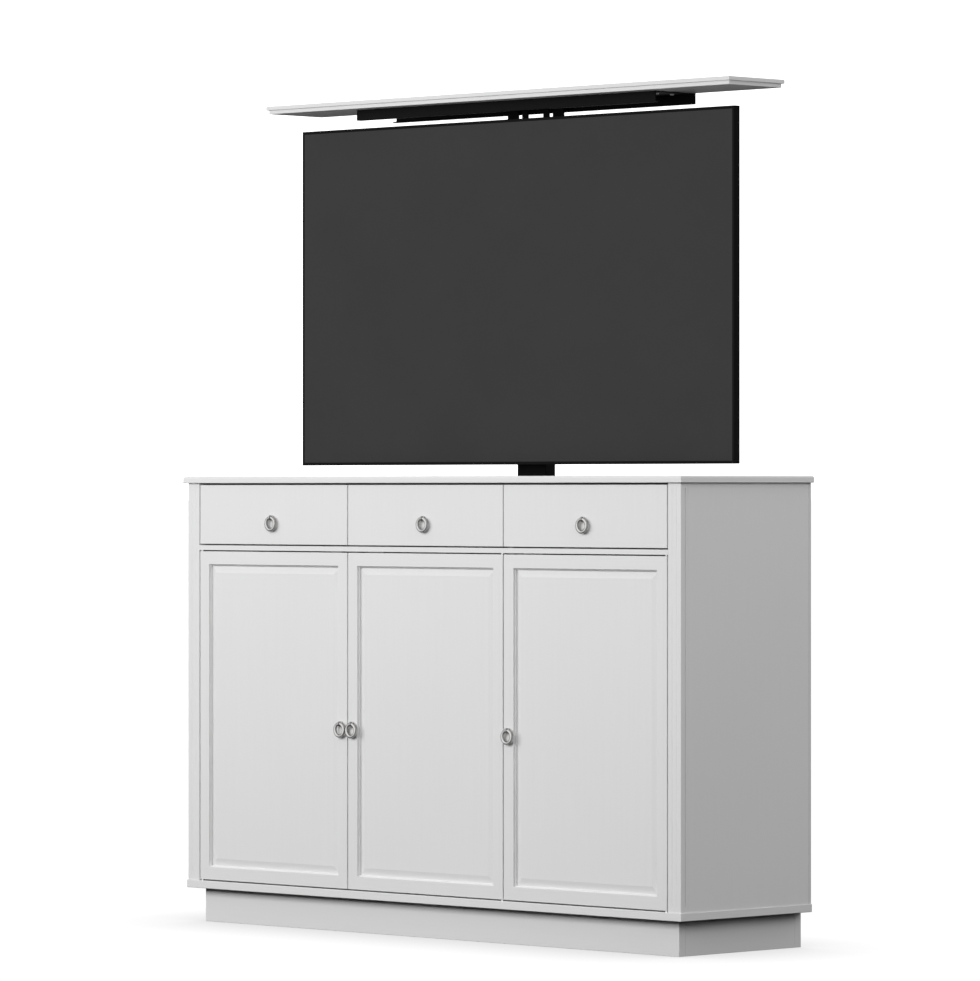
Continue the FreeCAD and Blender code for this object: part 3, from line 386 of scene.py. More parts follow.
plug(paint_film, relief, out.inputs["Height"])
print(paint_film.name, len(paint_film.nodes), "nodes")

# %% [markdown]
# ### Fine texture
# Powder coat, moulded plastic and cast paint have no direction. They have a tight pebbled skin. Its
# tops are painted a little lighter than its pits, a painted highlight for the light the tops catch, and
# the fine noise also bumps the skin. A Voronoi texture would give hard cells, so two noises of
# different size are added instead, which looks baked or moulded.
# %% Group: pebbled skin
pebble, given, out = new_group(
    "pebble",
    [("Top", "Color", (0.1, 0.1, 0.1, 1)), ("Pit", "Color", (0.05, 0.05, 0.05, 1)),
     ("Grain", "Float", 1500.0), ("Dullness", "Float", 0.5)],
    [("Color", "Color"), ("Roughness", "Float"), ("Height", "Float")],
)
place = here(pebble)
fine = noise(pebble, place, given.outputs["Grain"], 2.0)
wide = noise(pebble, place, 12.0, 3.0)
skin = rise(pebble, weighed(pebble, fine, 0.7, weighed(pebble, wide, 0.3, 0.0)), 0.35, 0.65, 0.0, 1.0)
# painted highlight: the Top colour goes on the tops of the skin and the darker Pit colour in its pits
plug(pebble, blend_tone(pebble, skin, given.outputs["Pit"], given.outputs["Top"]), out.inputs["Color"])
dull = weighed(pebble, wide, 0.14, weighed(pebble, fine, 0.1, given.outputs["Dullness"]))
plug(pebble, dull, out.inputs["Roughness"])
plug(pebble, fine, out.inputs["Height"])
print(pebble.name, len(pebble.nodes), "nodes")

# %% [markdown]
# ### Handled and wiped surfaces
# Polished metal and a screen look even, but their gloss isn't: fingers and a wiping cloth leave wide
# soft patches, with short fine hairlines over them. The roughness changes a little, and the hairlines
# give a faint relief. Scratches drawn one by one would be too coarse at this size.
# %% Group: wiped gloss
wiped, given, out = new_group(
    "wiped",
    [("Clean", "Float", 0.2), ("Marked", "Float", 0.3), ("Patch", "Float", 40.0),
     ("Hairlines", "Vector", (2500, 2500, 60))],
    [("Roughness", "Float"), ("Height", "Float")],
)
place = here(wiped)
patches = noise(wiped, place, given.outputs["Patch"], 3.0, 0.6)
hairs = noise(wiped, stretched(wiped, place, given.outputs["Hairlines"]), 1.0, 2.0)
marks = rise(wiped, weighed(wiped, patches, 0.65, weighed(wiped, hairs, 0.35, 0.0)), 0.35, 0.65, 0.0, 1.0)
plug(wiped, between(wiped, marks, given.outputs["Clean"], given.outputs["Marked"]), out.inputs["Roughness"])
plug(wiped, hairs, out.inputs["Height"])
print(wiped.name, len(wiped.nodes), "nodes")

# %% [markdown]
# ## The finishes
# A finish is one Principled shader. What is the same all over the surface, such as the metallic value
# or the strength of the shine, is typed on the shader. What changes comes from a group, and a Bump
# node turns the group's height into the way the surface catches light.
# %% A maker of finishes
BUMP_STRENGTH = 0.6


def finish(name, metal=0.0, shine=0.5):
    """A new material with its Principled shader, ready for the parts that vary."""
    material = bpy.data.materials.new(name)
    material.use_nodes = True
    shader = material.node_tree.nodes["Principled BSDF"]
    shader.inputs["Metallic"].default_value = metal
    shader.inputs["Specular IOR Level"].default_value = shine
    return material, material.node_tree, shader


def use_group(tree, group, **values):
    """Places a group and types its values."""
    node = tree.nodes.new("ShaderNodeGroup")
    node.node_tree = group
    for label, value in values.items():
        node.inputs[label].default_value = value
    return node


def bump(tree, shader, height, depth):
    """Feeds a height into the shader's normal, with its depth in metres."""
    node = tree.nodes.new("ShaderNodeBump")
    node.inputs["Strength"].default_value = BUMP_STRENGTH
    node.inputs["Distance"].default_value = depth
    tree.links.new(height, node.inputs["Height"])
    tree.links.new(node.outputs["Normal"], shader.inputs["Normal"])


def grey(value, warmth=0.0):
    """An even grey, with an optional touch of warmth."""
    return (value * (1 + warmth), value, value * (1 - warmth), 1)


def wear(tree, shader, group, depth, colour=True):
    """Joins a group's colour, roughness and height to the shader."""
    if colour:
        tree.links.new(group.outputs["Color"], shader.inputs["Base Color"])
    tree.links.new(group.outputs["Roughness"], shader.inputs["Roughness"])
    bump(tree, shader, group.outputs["Height"], depth)


def pebbled(name, top, pit, grain, dullness, depth, metal=0.0, shine=0.5):
    """A material with the pebbled skin, which powder coat, plating and mouldings share."""
    material, tree, shader = finish(name, metal, shine)
    skin = use_group(tree, pebble, Top=grey(*top), Pit=grey(*pit), Grain=grain, Dullness=dullness)
    wear(tree, shader, skin, depth)
    return material


print("a warm grey:", grey(0.5, 0.02))

# %% [markdown]
# ### Painted boards
# The show faces are a cool light grey satin, and the boards inside are a shade darker. A board has its
# faint lines along its length, so each paint exists three times, once for each direction that a board
# can lie in. Turning the texture with each board would need coordinates of its own, and three
# materials are simpler to read. The shine is low, because gloss would fill the narrow shadows.
# %% Paint, along each direction
LINE_ACROSS = 260.0
LINE_ALONG = 5.0
PAINT_SHINE = 0.07
PAINT_RELIEF = 0.015 * MM


def board_paint(name, pale, deep):
    """The paint for boards along X, along Y and along Z."""
    made = []
    for axis, letter in enumerate("xyz"):
        material, tree, shader = finish(name + "_" + letter, 0.0, PAINT_SHINE)
        stretch = [LINE_ACROSS] * 3
        stretch[axis] = LINE_ALONG
        film = use_group(tree, paint_film, Pale=grey(pale), Deep=grey(deep), Lines=stretch)
        wear(tree, shader, film, PAINT_RELIEF)
        made.append(material)
    return made


painted = board_paint("paint", 0.81, 0.795)
inner_painted = board_paint("inner_paint", 0.76, 0.735)
# painted shade: a dark paint for the rail behind the gap over the drawers
gap_shade_painted = board_paint("gap_paint", 0.10, 0.08)
print([m.name for m in painted + inner_painted + gap_shade_painted])

# %% [markdown]
# ### Dark underside, painted shade
# The underside of the base board has a dull dark coat instead of paint, as painted shade under the
# base. It uses the same film group with an even grain, in no direction. One flat colour would be
# simpler, but it would leave this board as the only one without any texture.
# %% Dark underside, painted shade
UNDERSIDE_GRAIN = 900.0
UNDERSIDE_RELIEF = 0.04 * MM
UNDERSIDE_WARMTH = 0.08

# painted shade: a near-black coat for the underside of the base board
underside_shade_coat, tree, shader = finish("underside_shade_coat", 0.0, 0.1)
shader.inputs["Roughness"].default_value = 0.8
tones = {"Pale": grey(0.055, UNDERSIDE_WARMTH), "Deep": grey(0.038, UNDERSIDE_WARMTH)}
fibre = use_group(tree, paint_film, Lines=[UNDERSIDE_GRAIN] * 3, **tones)
tree.links.new(fibre.outputs["Color"], shader.inputs["Base Color"])
bump(tree, shader, fibre.outputs["Height"], UNDERSIDE_RELIEF)
print(underside_shade_coat.name, "grains to the metre:", UNDERSIDE_GRAIN)

# %% [markdown]
# ### Pale wood for the drawer boxes
# The drawer boxes are clear lacquered birch: long soft fibres, a slow change between early and late
# growth, and short dark pores. The fibres are stretched noise and the growth bands a Wave texture
# that the fibres push about. The boards of a box lie along X or along Y, so there are two.
# %% Birch
birch, given, out = new_group(
    "birch",
    [("Early", "Color", (0.62, 0.48, 0.32, 1)), ("Late", "Color", (0.45, 0.31, 0.18, 1)),
     ("Fibres", "Vector", (220, 6, 220))],
    [("Color", "Color"), ("Roughness", "Float"), ("Height", "Float")],
)
along = stretched(birch, here(birch), given.outputs["Fibres"])
fibres = noise(birch, along, 1.0, 5.0, 0.65)
slow = noise(birch, along, 0.12, 2.0)
pores = rise(birch, noise(birch, along, 3.0, 1.0), 0.60, 0.70, 0.0, 1.0)
growth = rise(birch, weighed(birch, fibres, 0.45, weighed(birch, slow, 0.75, -0.1)), 0.3, 0.7, 0.0, 1.0)
body = blend_tone(birch, growth, given.outputs["Early"], given.outputs["Late"])
plug(birch, blend_tone(birch, weighed(birch, pores, 0.35, 0.0), body, grey(0.16, 0.35)), out.inputs["Color"])
plug(birch, weighed(birch, fibres, 0.2, 0.3), out.inputs["Roughness"])
plug(birch, weighed(birch, pores, -0.5, fibres), out.inputs["Height"])

birch_boards = []
for letter, fibres_along in (("x", (6, 220, 220)), ("y", (220, 6, 220)), ("z", (220, 220, 6))):
    material, tree, shader = finish("birch_" + letter, 0.0, 0.4)
    wear(tree, shader, use_group(tree, birch, Fibres=fibres_along), 0.08 * MM)
    birch_boards.append(material)
print(birch.name, len(birch.nodes), "nodes")

# %% [markdown]
# ### Metals
# The pulls are polished nickel that hands keep slightly dull. The lift's steel has a black powder
# coat, and its bolts and pins are zinc plated, which shows as soft pale patches. Bare metal takes its
# colour from its reflections, so most of its look is in the roughness.
# %% Nickel, powder coat and zinc
nickel, tree, shader = finish("nickel", 1.0)
shader.inputs["Base Color"].default_value = grey(0.37, 0.015)
marks = use_group(tree, wiped, Clean=0.16, Marked=0.26, Patch=220.0, Hairlines=(3000, 400, 3000))
wear(tree, shader, marks, 0.004 * MM, colour=False)

powder = pebbled("powder_coat", (0.0042,), (0.0026,), 1400.0, 0.42, 0.06 * MM, shine=0.06)
zinc = pebbled("zinc", (0.62, -0.01), (0.48, -0.02), 350.0, 0.24, 0.01 * MM, metal=1.0)
print([m.name for m in (nickel, powder, zinc)])

# %% [markdown]
# ### Plastics, motor paint and screen
# The television's case is a matt black moulding. Its rear cover is charcoal, because a black one would
# swallow its vents. The catches are white, and the motor is painted dark grey. The screen is half
# matt: it mirrors nothing sharply, and its grey is mostly the pale room spread over it. That needs a
# nearly black base, a middle roughness and half the ordinary shine.
# %% Plastics and screen
black_plastic = pebbled("black_plastic", (0.0048,), (0.0030,), 2200.0, 0.42, 0.03 * MM, shine=0.05)
cover_plastic = pebbled("cover_plastic", (0.040,), (0.026,), 1600.0, 0.42, 0.04 * MM, shine=0.3)
white_plastic = pebbled("white_plastic", (0.76,), (0.70,), 1800.0, 0.3, 0.02 * MM, shine=0.45)
motor_paint = pebbled("motor_paint", (0.075,), (0.05,), 900.0, 0.3, 0.05 * MM, shine=0.45)

screen_glass, tree, shader = finish("screen_glass", 0.0, 0.25)
shader.inputs["Base Color"].default_value = grey(0.006)
haze = use_group(tree, wiped, Clean=0.30, Marked=0.36, Patch=5.0, Hairlines=(90, 90, 40))
tree.links.new(haze.outputs["Roughness"], shader.inputs["Roughness"])
print([m.name for m in (black_plastic, cover_plastic, white_plastic, motor_paint, screen_glass)])

# %% [markdown]
# ## Every part gets its finish
# The record names a material slot for each part. Parts whose shape is already right keep it, and only
# their material changes. The fronts have upright lines in their paint, and flat boards have level ones.
# %% Dress the given parts
FINISH_OF = {
    "painted_board": painted[2], "inner_board": inner_painted[2], "drawer_wood": birch_boards[1],
    "polished_metal": nickel, "black_steel": powder, "zinc_steel": zinc, "motor_grey": motor_paint,
    "black_plastic": black_plastic, "white_plastic": white_plastic, "screen_glass": screen_glass,
}
LEVEL_BOARDS = {"bottom_panel": painted[0], "top_rails": painted[0], "shelves": inner_painted[0],
                "shelf_supports": inner_painted[1], "drawer_runners": inner_painted[1]}
slot_of = {row["node"]: row["material_slot"] for row in frame["record"]["subparts"]}
body_of = {name: body for body, names in frame["record"]["behaviour"]["bodies"].items() for name in names}
for name, node in nodes.items():
    node.data.materials.clear()
    node.data.materials.append(LEVEL_BOARDS.get(name, FINISH_OF[slot_of[name]]))
print(len(nodes), "parts dressed")

# %% [markdown]
# ## Softened edges
# No real board has a knife edge: it is sanded, and the paint rounds it further. That thin round edge
# catches the light and tells the eye how big the piece is. A copy of the given part is cleaned, its
# outer edges are bevelled by less than a millimetre, and its normals are weighted by area so that
# the big faces still shade flat. The copy stands in for the part, and the part stays underneath for
# collision.
#
# Two limits are known. The faces are taken from a set, which has no fixed order, so two runs differ
# in the order of the points and by a few points at the mitres of the doors. And because the frames of
# the doors are open at the mitres, some of their rails come out with faces that point inwards.
# %% Taking a copy apart
WELD = 1e-6
FLAT_WITHIN = math.radians(0.5)


def loose_parts(mesh):
    """The faces of each separate solid, found by walking over edges that have two faces."""
    left = set(mesh.faces)
    parts = []
    while left:
        waiting = [left.pop()]
        part = list(waiting)
        while waiting:
            for edge in waiting.pop().edges:
                for face in edge.link_faces if len(edge.link_faces) == 2 else ():
                    if face in left:
                        left.remove(face)
                        waiting.append(face)
                        part.append(face)
        parts.append(part)
    return parts


def copy_of(name):
    """A copy of a part with its double points merged, its solids split and its flat faces joined.

    Where two solids touch over a whole face, as at a door frame's mitres, merging leaves that face to
    one of them, and the other stays open there.
    """
    mesh = bmesh.new()
    mesh.from_mesh(nodes[name].data)
    bmesh.ops.remove_doubles(mesh, verts=mesh.verts, dist=WELD)
    for part in loose_parts(mesh)[1:]:
        bmesh.ops.split(mesh, geom=part)
    bmesh.ops.dissolve_limit(mesh, angle_limit=FLAT_WITHIN, verts=mesh.verts, edges=mesh.edges)
    return mesh


def longest_axis(faces):
    """0, 1 or 2: the direction in which these faces reach furthest."""
    points = [v.co for face in faces for v in face.verts]
    reach = [max(p[axis] for p in points) - min(p[axis] for p in points) for axis in range(3)]
    return reach.index(max(reach))


print("plinth boards:", len(loose_parts(copy_of("plinth"))))

# %% [markdown]
# A piece that is made here is handed over in the same few steps each time: it gets its finish, its
# smooth shading with sharp corners kept, and the body it rides on.
# %% Handing a piece over
SMOOTH_UNDER = math.radians(32)
BEVEL_SEGMENTS = 2


def bake(piece):
    """Puts what the modifiers do into the mesh itself."""
    graph = bpy.context.evaluated_depsgraph_get()
    done = bpy.data.meshes.new_from_object(piece.evaluated_get(graph))
    done.name = piece.name
    piece.modifiers.clear()
    piece.data = done


def add_piece(name, mesh, body, finishes, stands_for=(), cut=None):
    """Turns a bmesh into a piece that rides on a body. Three finishes are shared out by direction."""
    if len(finishes) > 1:
        for part in loose_parts(mesh):
            axis = longest_axis(part)
            for face in part:
                face.material_index = axis
    bmesh.ops.recalc_face_normals(mesh, faces=mesh.faces)
    for face in mesh.faces:
        face.smooth = True
    data = bpy.data.meshes.new(name)
    mesh.to_mesh(data)
    mesh.free()
    for material in finishes:
        data.materials.append(material)
    piece = bpy.data.objects.new(name, data)
    scene.collection.objects.link(piece)
    if cut:
        carve = piece.modifiers.new("cut", "BOOLEAN")
        carve.operation = "DIFFERENCE"
        carve.solver = "EXACT"
        carve.object = cut
        bake(piece)
        bpy.data.objects.remove(cut)
    piece.data.set_sharp_from_angle(angle=SMOOTH_UNDER)
    level = piece.modifiers.new("level", "WEIGHTED_NORMAL")
    level.keep_sharp = True
    bake(piece)
    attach(piece, body)
    if stands_for:
        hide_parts(*stands_for)
    return piece


def softened(name, width, finishes, corner=50, cut=None):
    """A copy of a part with its outer corners bevelled, which stands for the part."""
    mesh = copy_of(name)
    turn = math.radians(corner)
    edges = [e for e in mesh.edges if e.is_manifold and e.is_convex and e.calc_face_angle() > turn]
    bmesh.ops.bevel(mesh, geom=edges, offset=width, segments=BEVEL_SEGMENTS, profile=0.5, affect="EDGES",
                    clamp_overlap=True)
    piece = add_piece(name + "_soft", mesh, body_of[name], finishes, (name,), cut)
    print(piece.name, len(piece.data.polygons), "faces")
    return piece


print("corners stay sharp over %.0f degrees" % math.degrees(SMOOTH_UNDER))

# %% [markdown]
# ### Softened boards
# The show boards get a rounding that a hand could feel. The door frames have fine steps and mitres
# already, and a wide bevel would eat them, so theirs is less than half as wide.
# %% Softened boards
BOARD_SOFT = 0.8 * MM
MITRE_SOFT = 0.3 * MM
for name in ("side_panel_left", "side_panel_right", "corner_post_left", "corner_post_right", "plinth",
             "drawer_deck", "worktop", "lid_core", "lid_top"):
    softened(name, BOARD_SOFT, painted)
for side in ("left", "middle", "right"):
    softened("door_frame_" + side, MITRE_SOFT, painted)
for name in ("shelves", "divider_left", "divider_right"):
    softened(name, BOARD_SOFT, inner_painted)

# %% [markdown]
# The underside of the bottom panel is never seen when the cabinet stands. It gets a dull dark coat
# as painted shade: white paint above a plinth would throw light back down its face, and the dark coat
# keeps the line under the panel dark.
# The rail behind the gap over the drawers is painted dark as painted shade too: a pale rail would show
# as a pale line. The cleats that belong to the same part run the other way and stay pale.
# %% Dark underside and dark rail, painted shade
RAIL_SOFT = 0.5 * MM
BASE_SOFT = 0.3 * MM
FACING_DOWN = -0.99

# painted shade: the rail along X gets the dark paint, and the cleats stay pale
softened("top_rails", RAIL_SOFT, [gap_shade_painted[0], inner_painted[1], inner_painted[2]])
base_board = softened("bottom_panel", BASE_SOFT, [painted[0]])
# painted shade: the faces that point down get the dark underside coat
base_board.data.materials.append(underside_shade_coat)
underside = [face for face in base_board.data.polygons if face.normal.z < FACING_DOWN]
for face in underside:
    face.material_index = 1
print("sealed faces:", len(underside))

# %% [markdown]
# ### Drawer boxes
# A drawer box shows when the drawer is out. Its boards are softened, and each one has its grain along
# its own length, which is how they were sawn.
# %% Drawer boxes
BOX_SOFT = 0.6 * MM

for side in ("left", "middle", "right"):
    softened("drawer_box_" + side, BOX_SOFT, birch_boards)

# %% [markdown]
# ## Turned and cast fittings
# A rosette, a screw head or a ring is a profile turned round an axis. A lathe function takes the
# profile as pairs of radius and height and sweeps it, which gives full control of every bead. A
# Screw modifier could do the same, but the result would then depend on an object's own axes.
# %% Lathe


def turned(mesh, profile, centre, axis, steps=48, closed=False):
    """Sweeps (radius, height) pairs, in metres, round an axis through a centre, into a mesh."""
    along = Vector(axis).normalized()
    side = along.orthogonal().normalized()
    other = along.cross(side)
    rings = []
    for radius, height in profile:
        base = Vector(centre) + along * height
        count = steps if radius > 1e-7 else 1
        turns = [2 * math.pi * step / steps for step in range(count)]
        spokes = [side * math.cos(turn) + other * math.sin(turn) for turn in turns]
        rings.append([mesh.verts.new(base + spoke * radius) for spoke in spokes])
    pairs = list(zip(rings, rings[1:]))
    if closed:
        pairs.append((rings[-1], rings[0]))
    for low, high in pairs:
        for step in range(steps):
            after = (step + 1) % steps
            near = [low[step % len(low)], low[after % len(low)]]
            far = [high[after % len(high)], high[step % len(high)]]
            mesh.faces.new(list(dict.fromkeys(near + far)))
    return mesh


def oval(radius, height, half_radius, half_height, count=16):
    """A closed oval profile for a ring's section."""
    angles = [2 * math.pi * i / count for i in range(count)]
    return [(radius + half_radius * math.cos(a), height + half_height * math.sin(a)) for a in angles]


def corners_of(name):
    """A part's lowest and highest corners as vectors."""
    return [Vector(corner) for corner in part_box(name)]


print("points in an oval:", len(oval(MM, 0, MM, MM)))

# %% [markdown]
# ### Ring pulls
# Each front has a turned rosette, an eye cast with it, and a heavy round ring that hangs in the eye.
# The places are read from the given parts: the ring's box gives its centre, and its top is where it
# passes through the eye. The rosette keeps within the given one and only gains its bead and cove.
# %% Rings and rosettes
WIRE_RADIUS = 3.4 * MM
EYE_HOLE = 3.75 * MM
EYE_RIM = 1.3 * MM
EYE_HALF_WIDTH = 1.5 * MM
RING_STEPS = 72
EYE_STEPS = 40
EYE_SECTION = 12
ROSETTE_NECK = [(0, 1.9), (1.9, 1.9), (2.2, 1.5), (2.7, 1.25)]
ROSETTE_RIM = [(3.6, 1.2), (4.2, 1.15), (4.7, 0.9), (5, 0.45), (5, 0), (0, 0)]
ROSETTE = [(radius * MM, height * MM) for radius, height in ROSETTE_NECK + ROSETTE_RIM]

for kind, front in (("drawer", "drawer_front_"), ("door", "door_frame_")):
    for side in ("left", "middle", "right"):
        ring_name = "%s_pull_ring_%s" % (kind, side)
        post_name = "%s_pull_post_%s" % (kind, side)
        low, high = corners_of(ring_name)
        centre = (low + high) / 2
        ring_radius = (high.x - low.x) / 2 - WIRE_RADIUS
        eye = centre + Z * ring_radius
        face_y = corners_of(front + side)[0].y

        wire = oval(ring_radius, 0, WIRE_RADIUS, WIRE_RADIUS)
        ring = turned(bmesh.new(), wire, centre, Y, RING_STEPS, closed=True)
        add_piece(ring_name + "_fine", ring, body_of[ring_name], [nickel], (ring_name,))

        post = turned(bmesh.new(), ROSETTE, (eye.x, face_y, eye.z), -Y)
        section = oval(EYE_HOLE + EYE_RIM / 2, 0, EYE_RIM / 2, EYE_HALF_WIDTH, EYE_SECTION)
        turned(post, section, eye, X, EYE_STEPS, closed=True)
        add_piece(post_name + "_fine", post, body_of[post_name], [nickel], (post_name,))
print("ring radius %.1f mm" % (ring_radius / MM))

# %% [markdown]
# ## Cut-outs and plates
# Vents, mount slots and screw recesses are openings with round ends. One outline function draws them,
# and a prism function gives them depth. Joined into one cutter, they are taken out of a piece with a
# single Boolean modifier, which is quicker and cleaner than one modifier for each hole.
# %% Outlines and prisms


def slot_outline(centre, along, across, half_length, radius, steps=6):
    """The points of an opening with round ends."""
    points = []
    for end in (1, -1):
        for step in range(steps + 1):
            angle = math.pi * (step / steps - 0.5)
            reach = end * (half_length - radius + radius * math.cos(angle))
            points.append(Vector(centre) + along * reach + across * (end * radius * math.sin(angle)))
    return points


def plate_outline(centre, along, across, half_length, half_height):
    """The four corners of a plate."""
    signs = ((-1, -1), (1, -1), (1, 1), (-1, 1))
    return [Vector(centre) + along * (a * half_length) + across * (b * half_height) for a, b in signs]


def loft(mesh, loops, closed=False):
    """Joins loops of points into a skin. Unless it closes on itself, both ends are capped."""
    rows = [[mesh.verts.new(point) for point in loop] for loop in loops]
    pairs = list(zip(rows, rows[1:]))
    if closed:
        pairs.append((rows[-1], rows[0]))
    else:
        mesh.faces.new(rows[0][::-1])
        mesh.faces.new(rows[-1])
    for near, far in pairs:
        for step in range(len(near)):
            after = (step + 1) % len(near)
            mesh.faces.new((near[step], near[after], far[after], far[step]))
    return mesh


def prism(mesh, outline, sweep):
    """A closed solid: an outline swept along a vector."""
    return loft(mesh, [outline, [point + sweep for point in outline]])


def cutter(mesh):
    """A bmesh of closed solids as an object for a Boolean modifier."""
    bmesh.ops.recalc_face_normals(mesh, faces=mesh.faces)
    data = bpy.data.meshes.new("cutter")
    mesh.to_mesh(data)
    mesh.free()
    made = bpy.data.objects.new("cutter", data)
    scene.collection.objects.link(made)
    return made


print("points in a slot:", len(slot_outline((0, 0, 0), X, Z, 2 * MM, MM)))

# %% [markdown]
# ### Screws
# Every screw on the cabinet has a cross recess. Its head is turned, and a cross of two thin slots is
# cut into it. The recess is real depth and not a painted cross, so that it stays dark from any side.
# %% Screw heads
PAN_HEAD = [(0, 1.0), (0.45, 0.97), (0.75, 0.82), (0.93, 0.5), (1.0, 0.12), (1.0, 0), (0, 0)]
FLAT_HEAD = [(0, 1.0), (0.94, 1.0), (1.0, 0.8), (0.55, 0), (0, 0)]
SCREW_STEPS = 24
CROSS_FLOOR = 0.45  # as a share of the head's height
CROSS_REACH = 0.52  # these two as shares of its radius
CROSS_WIDTH = 0.13


def screw_heads(name, seats, axis, radius, height, profile, body, stands_for=()):
    """Screw heads that stand on their seats and point along an axis."""
    heads, crosses = bmesh.new(), bmesh.new()
    along = axis.orthogonal().normalized()
    across = axis.cross(along)
    for seat in seats:
        turned(heads, [(r * radius, h * height) for r, h in profile], seat, axis, SCREW_STEPS)
        cross_floor = seat + axis * (height * CROSS_FLOOR)
        for one, other in ((along, across), (across, along)):
            outline = plate_outline(cross_floor, one, other, radius * CROSS_REACH, radius * CROSS_WIDTH)
            prism(crosses, outline, axis * height)
    add_piece(name, heads, body, [zinc], stands_for, cutter(crosses))
    print(name, len(seats))


print("points in a pan head:", len(PAN_HEAD))

# %% [markdown]
# ### The back
# The back is a thin panel let in flush and screwed round its edge and along both dividers. The screws
# are countersunk, so that the cabinet can stand against a wall. Their seats are cut into the panel
# and the heads lie a hair under its face.
# %% Back panel and its screws
SCREW_INSET = 9 * MM
SCREW_RADIUS = 3.6 * MM
SCREW_HEAD = 1.8 * MM
SCREW_UNDER_FACE = 0.25 * MM
SCREW_ROWS = 6
SCREW_COLUMNS = 9
COLUMNS_USED = (1, 2, 4, 5, 7, 8)
BOWL_FOOT = 0.6 * SCREW_RADIUS
BOWL_MOUTH = 1.08 * SCREW_RADIUS
BOWL_OVER = 0.2 * MM

low, high = corners_of("back_panel")
columns = [low.x + SCREW_INSET, high.x - SCREW_INSET]
columns += [sum(corners_of(name), Vector()).x / 2 for name in ("divider_left", "divider_right")]
rise_of_row = (high.z - low.z - 2 * SCREW_INSET) / (SCREW_ROWS - 1)
levels = [low.z + SCREW_INSET + rise_of_row * row for row in range(SCREW_ROWS)]
seats = [Vector((x, high.y, z)) for x in columns for z in levels]
for step in COLUMNS_USED:
    x = low.x + (high.x - low.x) * step / SCREW_COLUMNS
    seats += [Vector((x, high.y, z)) for z in (levels[0], levels[-1])]
bowls = bmesh.new()
bowl = [(0, -SCREW_HEAD), (BOWL_FOOT, -SCREW_HEAD), (BOWL_MOUTH, BOWL_OVER), (0, BOWL_OVER)]
for seat in seats:
    turned(bowls, bowl, seat, Y, SCREW_STEPS)
softened("back_panel", BOARD_SOFT, inner_painted, cut=cutter(bowls))
sunk = [seat - Y * (SCREW_HEAD + SCREW_UNDER_FACE) for seat in seats]
screw_heads("back_screws", sunk, Y, SCREW_RADIUS, SCREW_HEAD, FLAT_HEAD, "cabinet")

# %% [markdown]
# ## The television
# The case is a thin black tray, and its back carries a moulded cover over the electronics. A real
# cover is mostly vents: upright slots along the top, short level ones for the sound below, and a
# sunken bay for the cables. They are cut right through the skin, because a bump would look flat as
# soon as light falls across it.
# %% Case and rear cover
PLASTIC_SOFT = 0.7 * MM
VENT_START = 238 * MM
VENT_PITCH = 7 * MM
VENT_COUNT = 30
VENT_HALF = 13 * MM
VENT_RADIUS = 1.6 * MM
VENT_DROPS = (34 * MM, 68 * MM)
SOUND_START = 262 * MM
SOUND_PITCH = 22 * MM
SOUND_COUNT = 9
SOUND_HALF = 8.5 * MM
SOUND_LEVELS = [(26 + 7 * row) * MM for row in range(4)]
COVER_SKIN = 3 * MM
BAY_X = 250 * MM
BAY_LEVEL = 110 * MM
BAY_HALF_LENGTH = 82 * MM
BAY_HALF_HEIGHT = 26 * MM
BAY_CORNER = 8 * MM
CUT_START = 0.5 * MM
COVER_CORNER = 30  # degrees


def rounded_loop(centre, along, across, half_length, half_height, radius, steps=6):
    """The points of a rectangle with rounded corners."""
    points = []
    for quarter, (a, b) in enumerate(((1, 1), (-1, 1), (-1, -1), (1, -1))):
        for step in range(steps + 1):
            angle = math.pi / 2 * (quarter + step / steps)
            reach = a * (half_length - radius) + radius * math.cos(angle)
            lift = b * (half_height - radius) + radius * math.sin(angle)
            points.append(centre + along * reach + across * lift)
    return points


softened("tv_case", PLASTIC_SOFT, [black_plastic])

low, high = corners_of("tv_rear_cover")
cover_back = high.y
cover_cuts = bmesh.new()
through_skin = -Y * (COVER_SKIN + MM)
over_skin = Y * (cover_back + CUT_START)
for sign in (-1, 1):
    for step in range(VENT_COUNT):
        for drop in VENT_DROPS:
            place = over_skin + X * sign * (VENT_START + step * VENT_PITCH) + Z * (high.z - drop)
            prism(cover_cuts, slot_outline(place, Z, X, VENT_HALF, VENT_RADIUS), through_skin)
    for step in range(SOUND_COUNT):
        for level in SOUND_LEVELS:
            place = over_skin + X * sign * (SOUND_START + step * SOUND_PITCH) + Z * (low.z + level)
            prism(cover_cuts, slot_outline(place, X, Z, SOUND_HALF, VENT_RADIUS), through_skin)
bay = over_skin + X * BAY_X + Z * (low.z + BAY_LEVEL)
prism(cover_cuts, rounded_loop(bay, X, Z, BAY_HALF_LENGTH, BAY_HALF_HEIGHT, BAY_CORNER), through_skin)
softened("tv_rear_cover", PLASTIC_SOFT, [cover_plastic], COVER_CORNER, cutter(cover_cuts))

# %% [markdown]
# ### Cable bay
# Behind the opening stands a plate with the sockets, a few millimetres deep in the cover. The sockets
# are plain rims with a hollow, of the usual sizes: two flat ones, a square one and two round ones.
# A known limit: the faces of this piece come out pointing inwards.
# %% Sockets
BAY_DEPTH = 9 * MM
BAY_PLATE = 2 * MM
BAY_LAP = 6 * MM
SOCKET_RIM = 1.2 * MM
SOCKET_PROUD = 2.5 * MM
SOCKET_DEEP = 1.0 * MM
FLAT_SOCKETS = [(-54, 8.5, 3.2), (-26, 8.5, 3.2), (0, 8.0, 7.0)]
ROUND_SOCKETS = [(26, 5.0), (46, 3.6)]
ROUND_STEPS = 12
COVER_SCREW_INSETS = (22 * MM, 200 * MM)
COVER_SCREW_LEVEL = 15 * MM
COVER_SCREW = (3.2 * MM, 1.6 * MM)

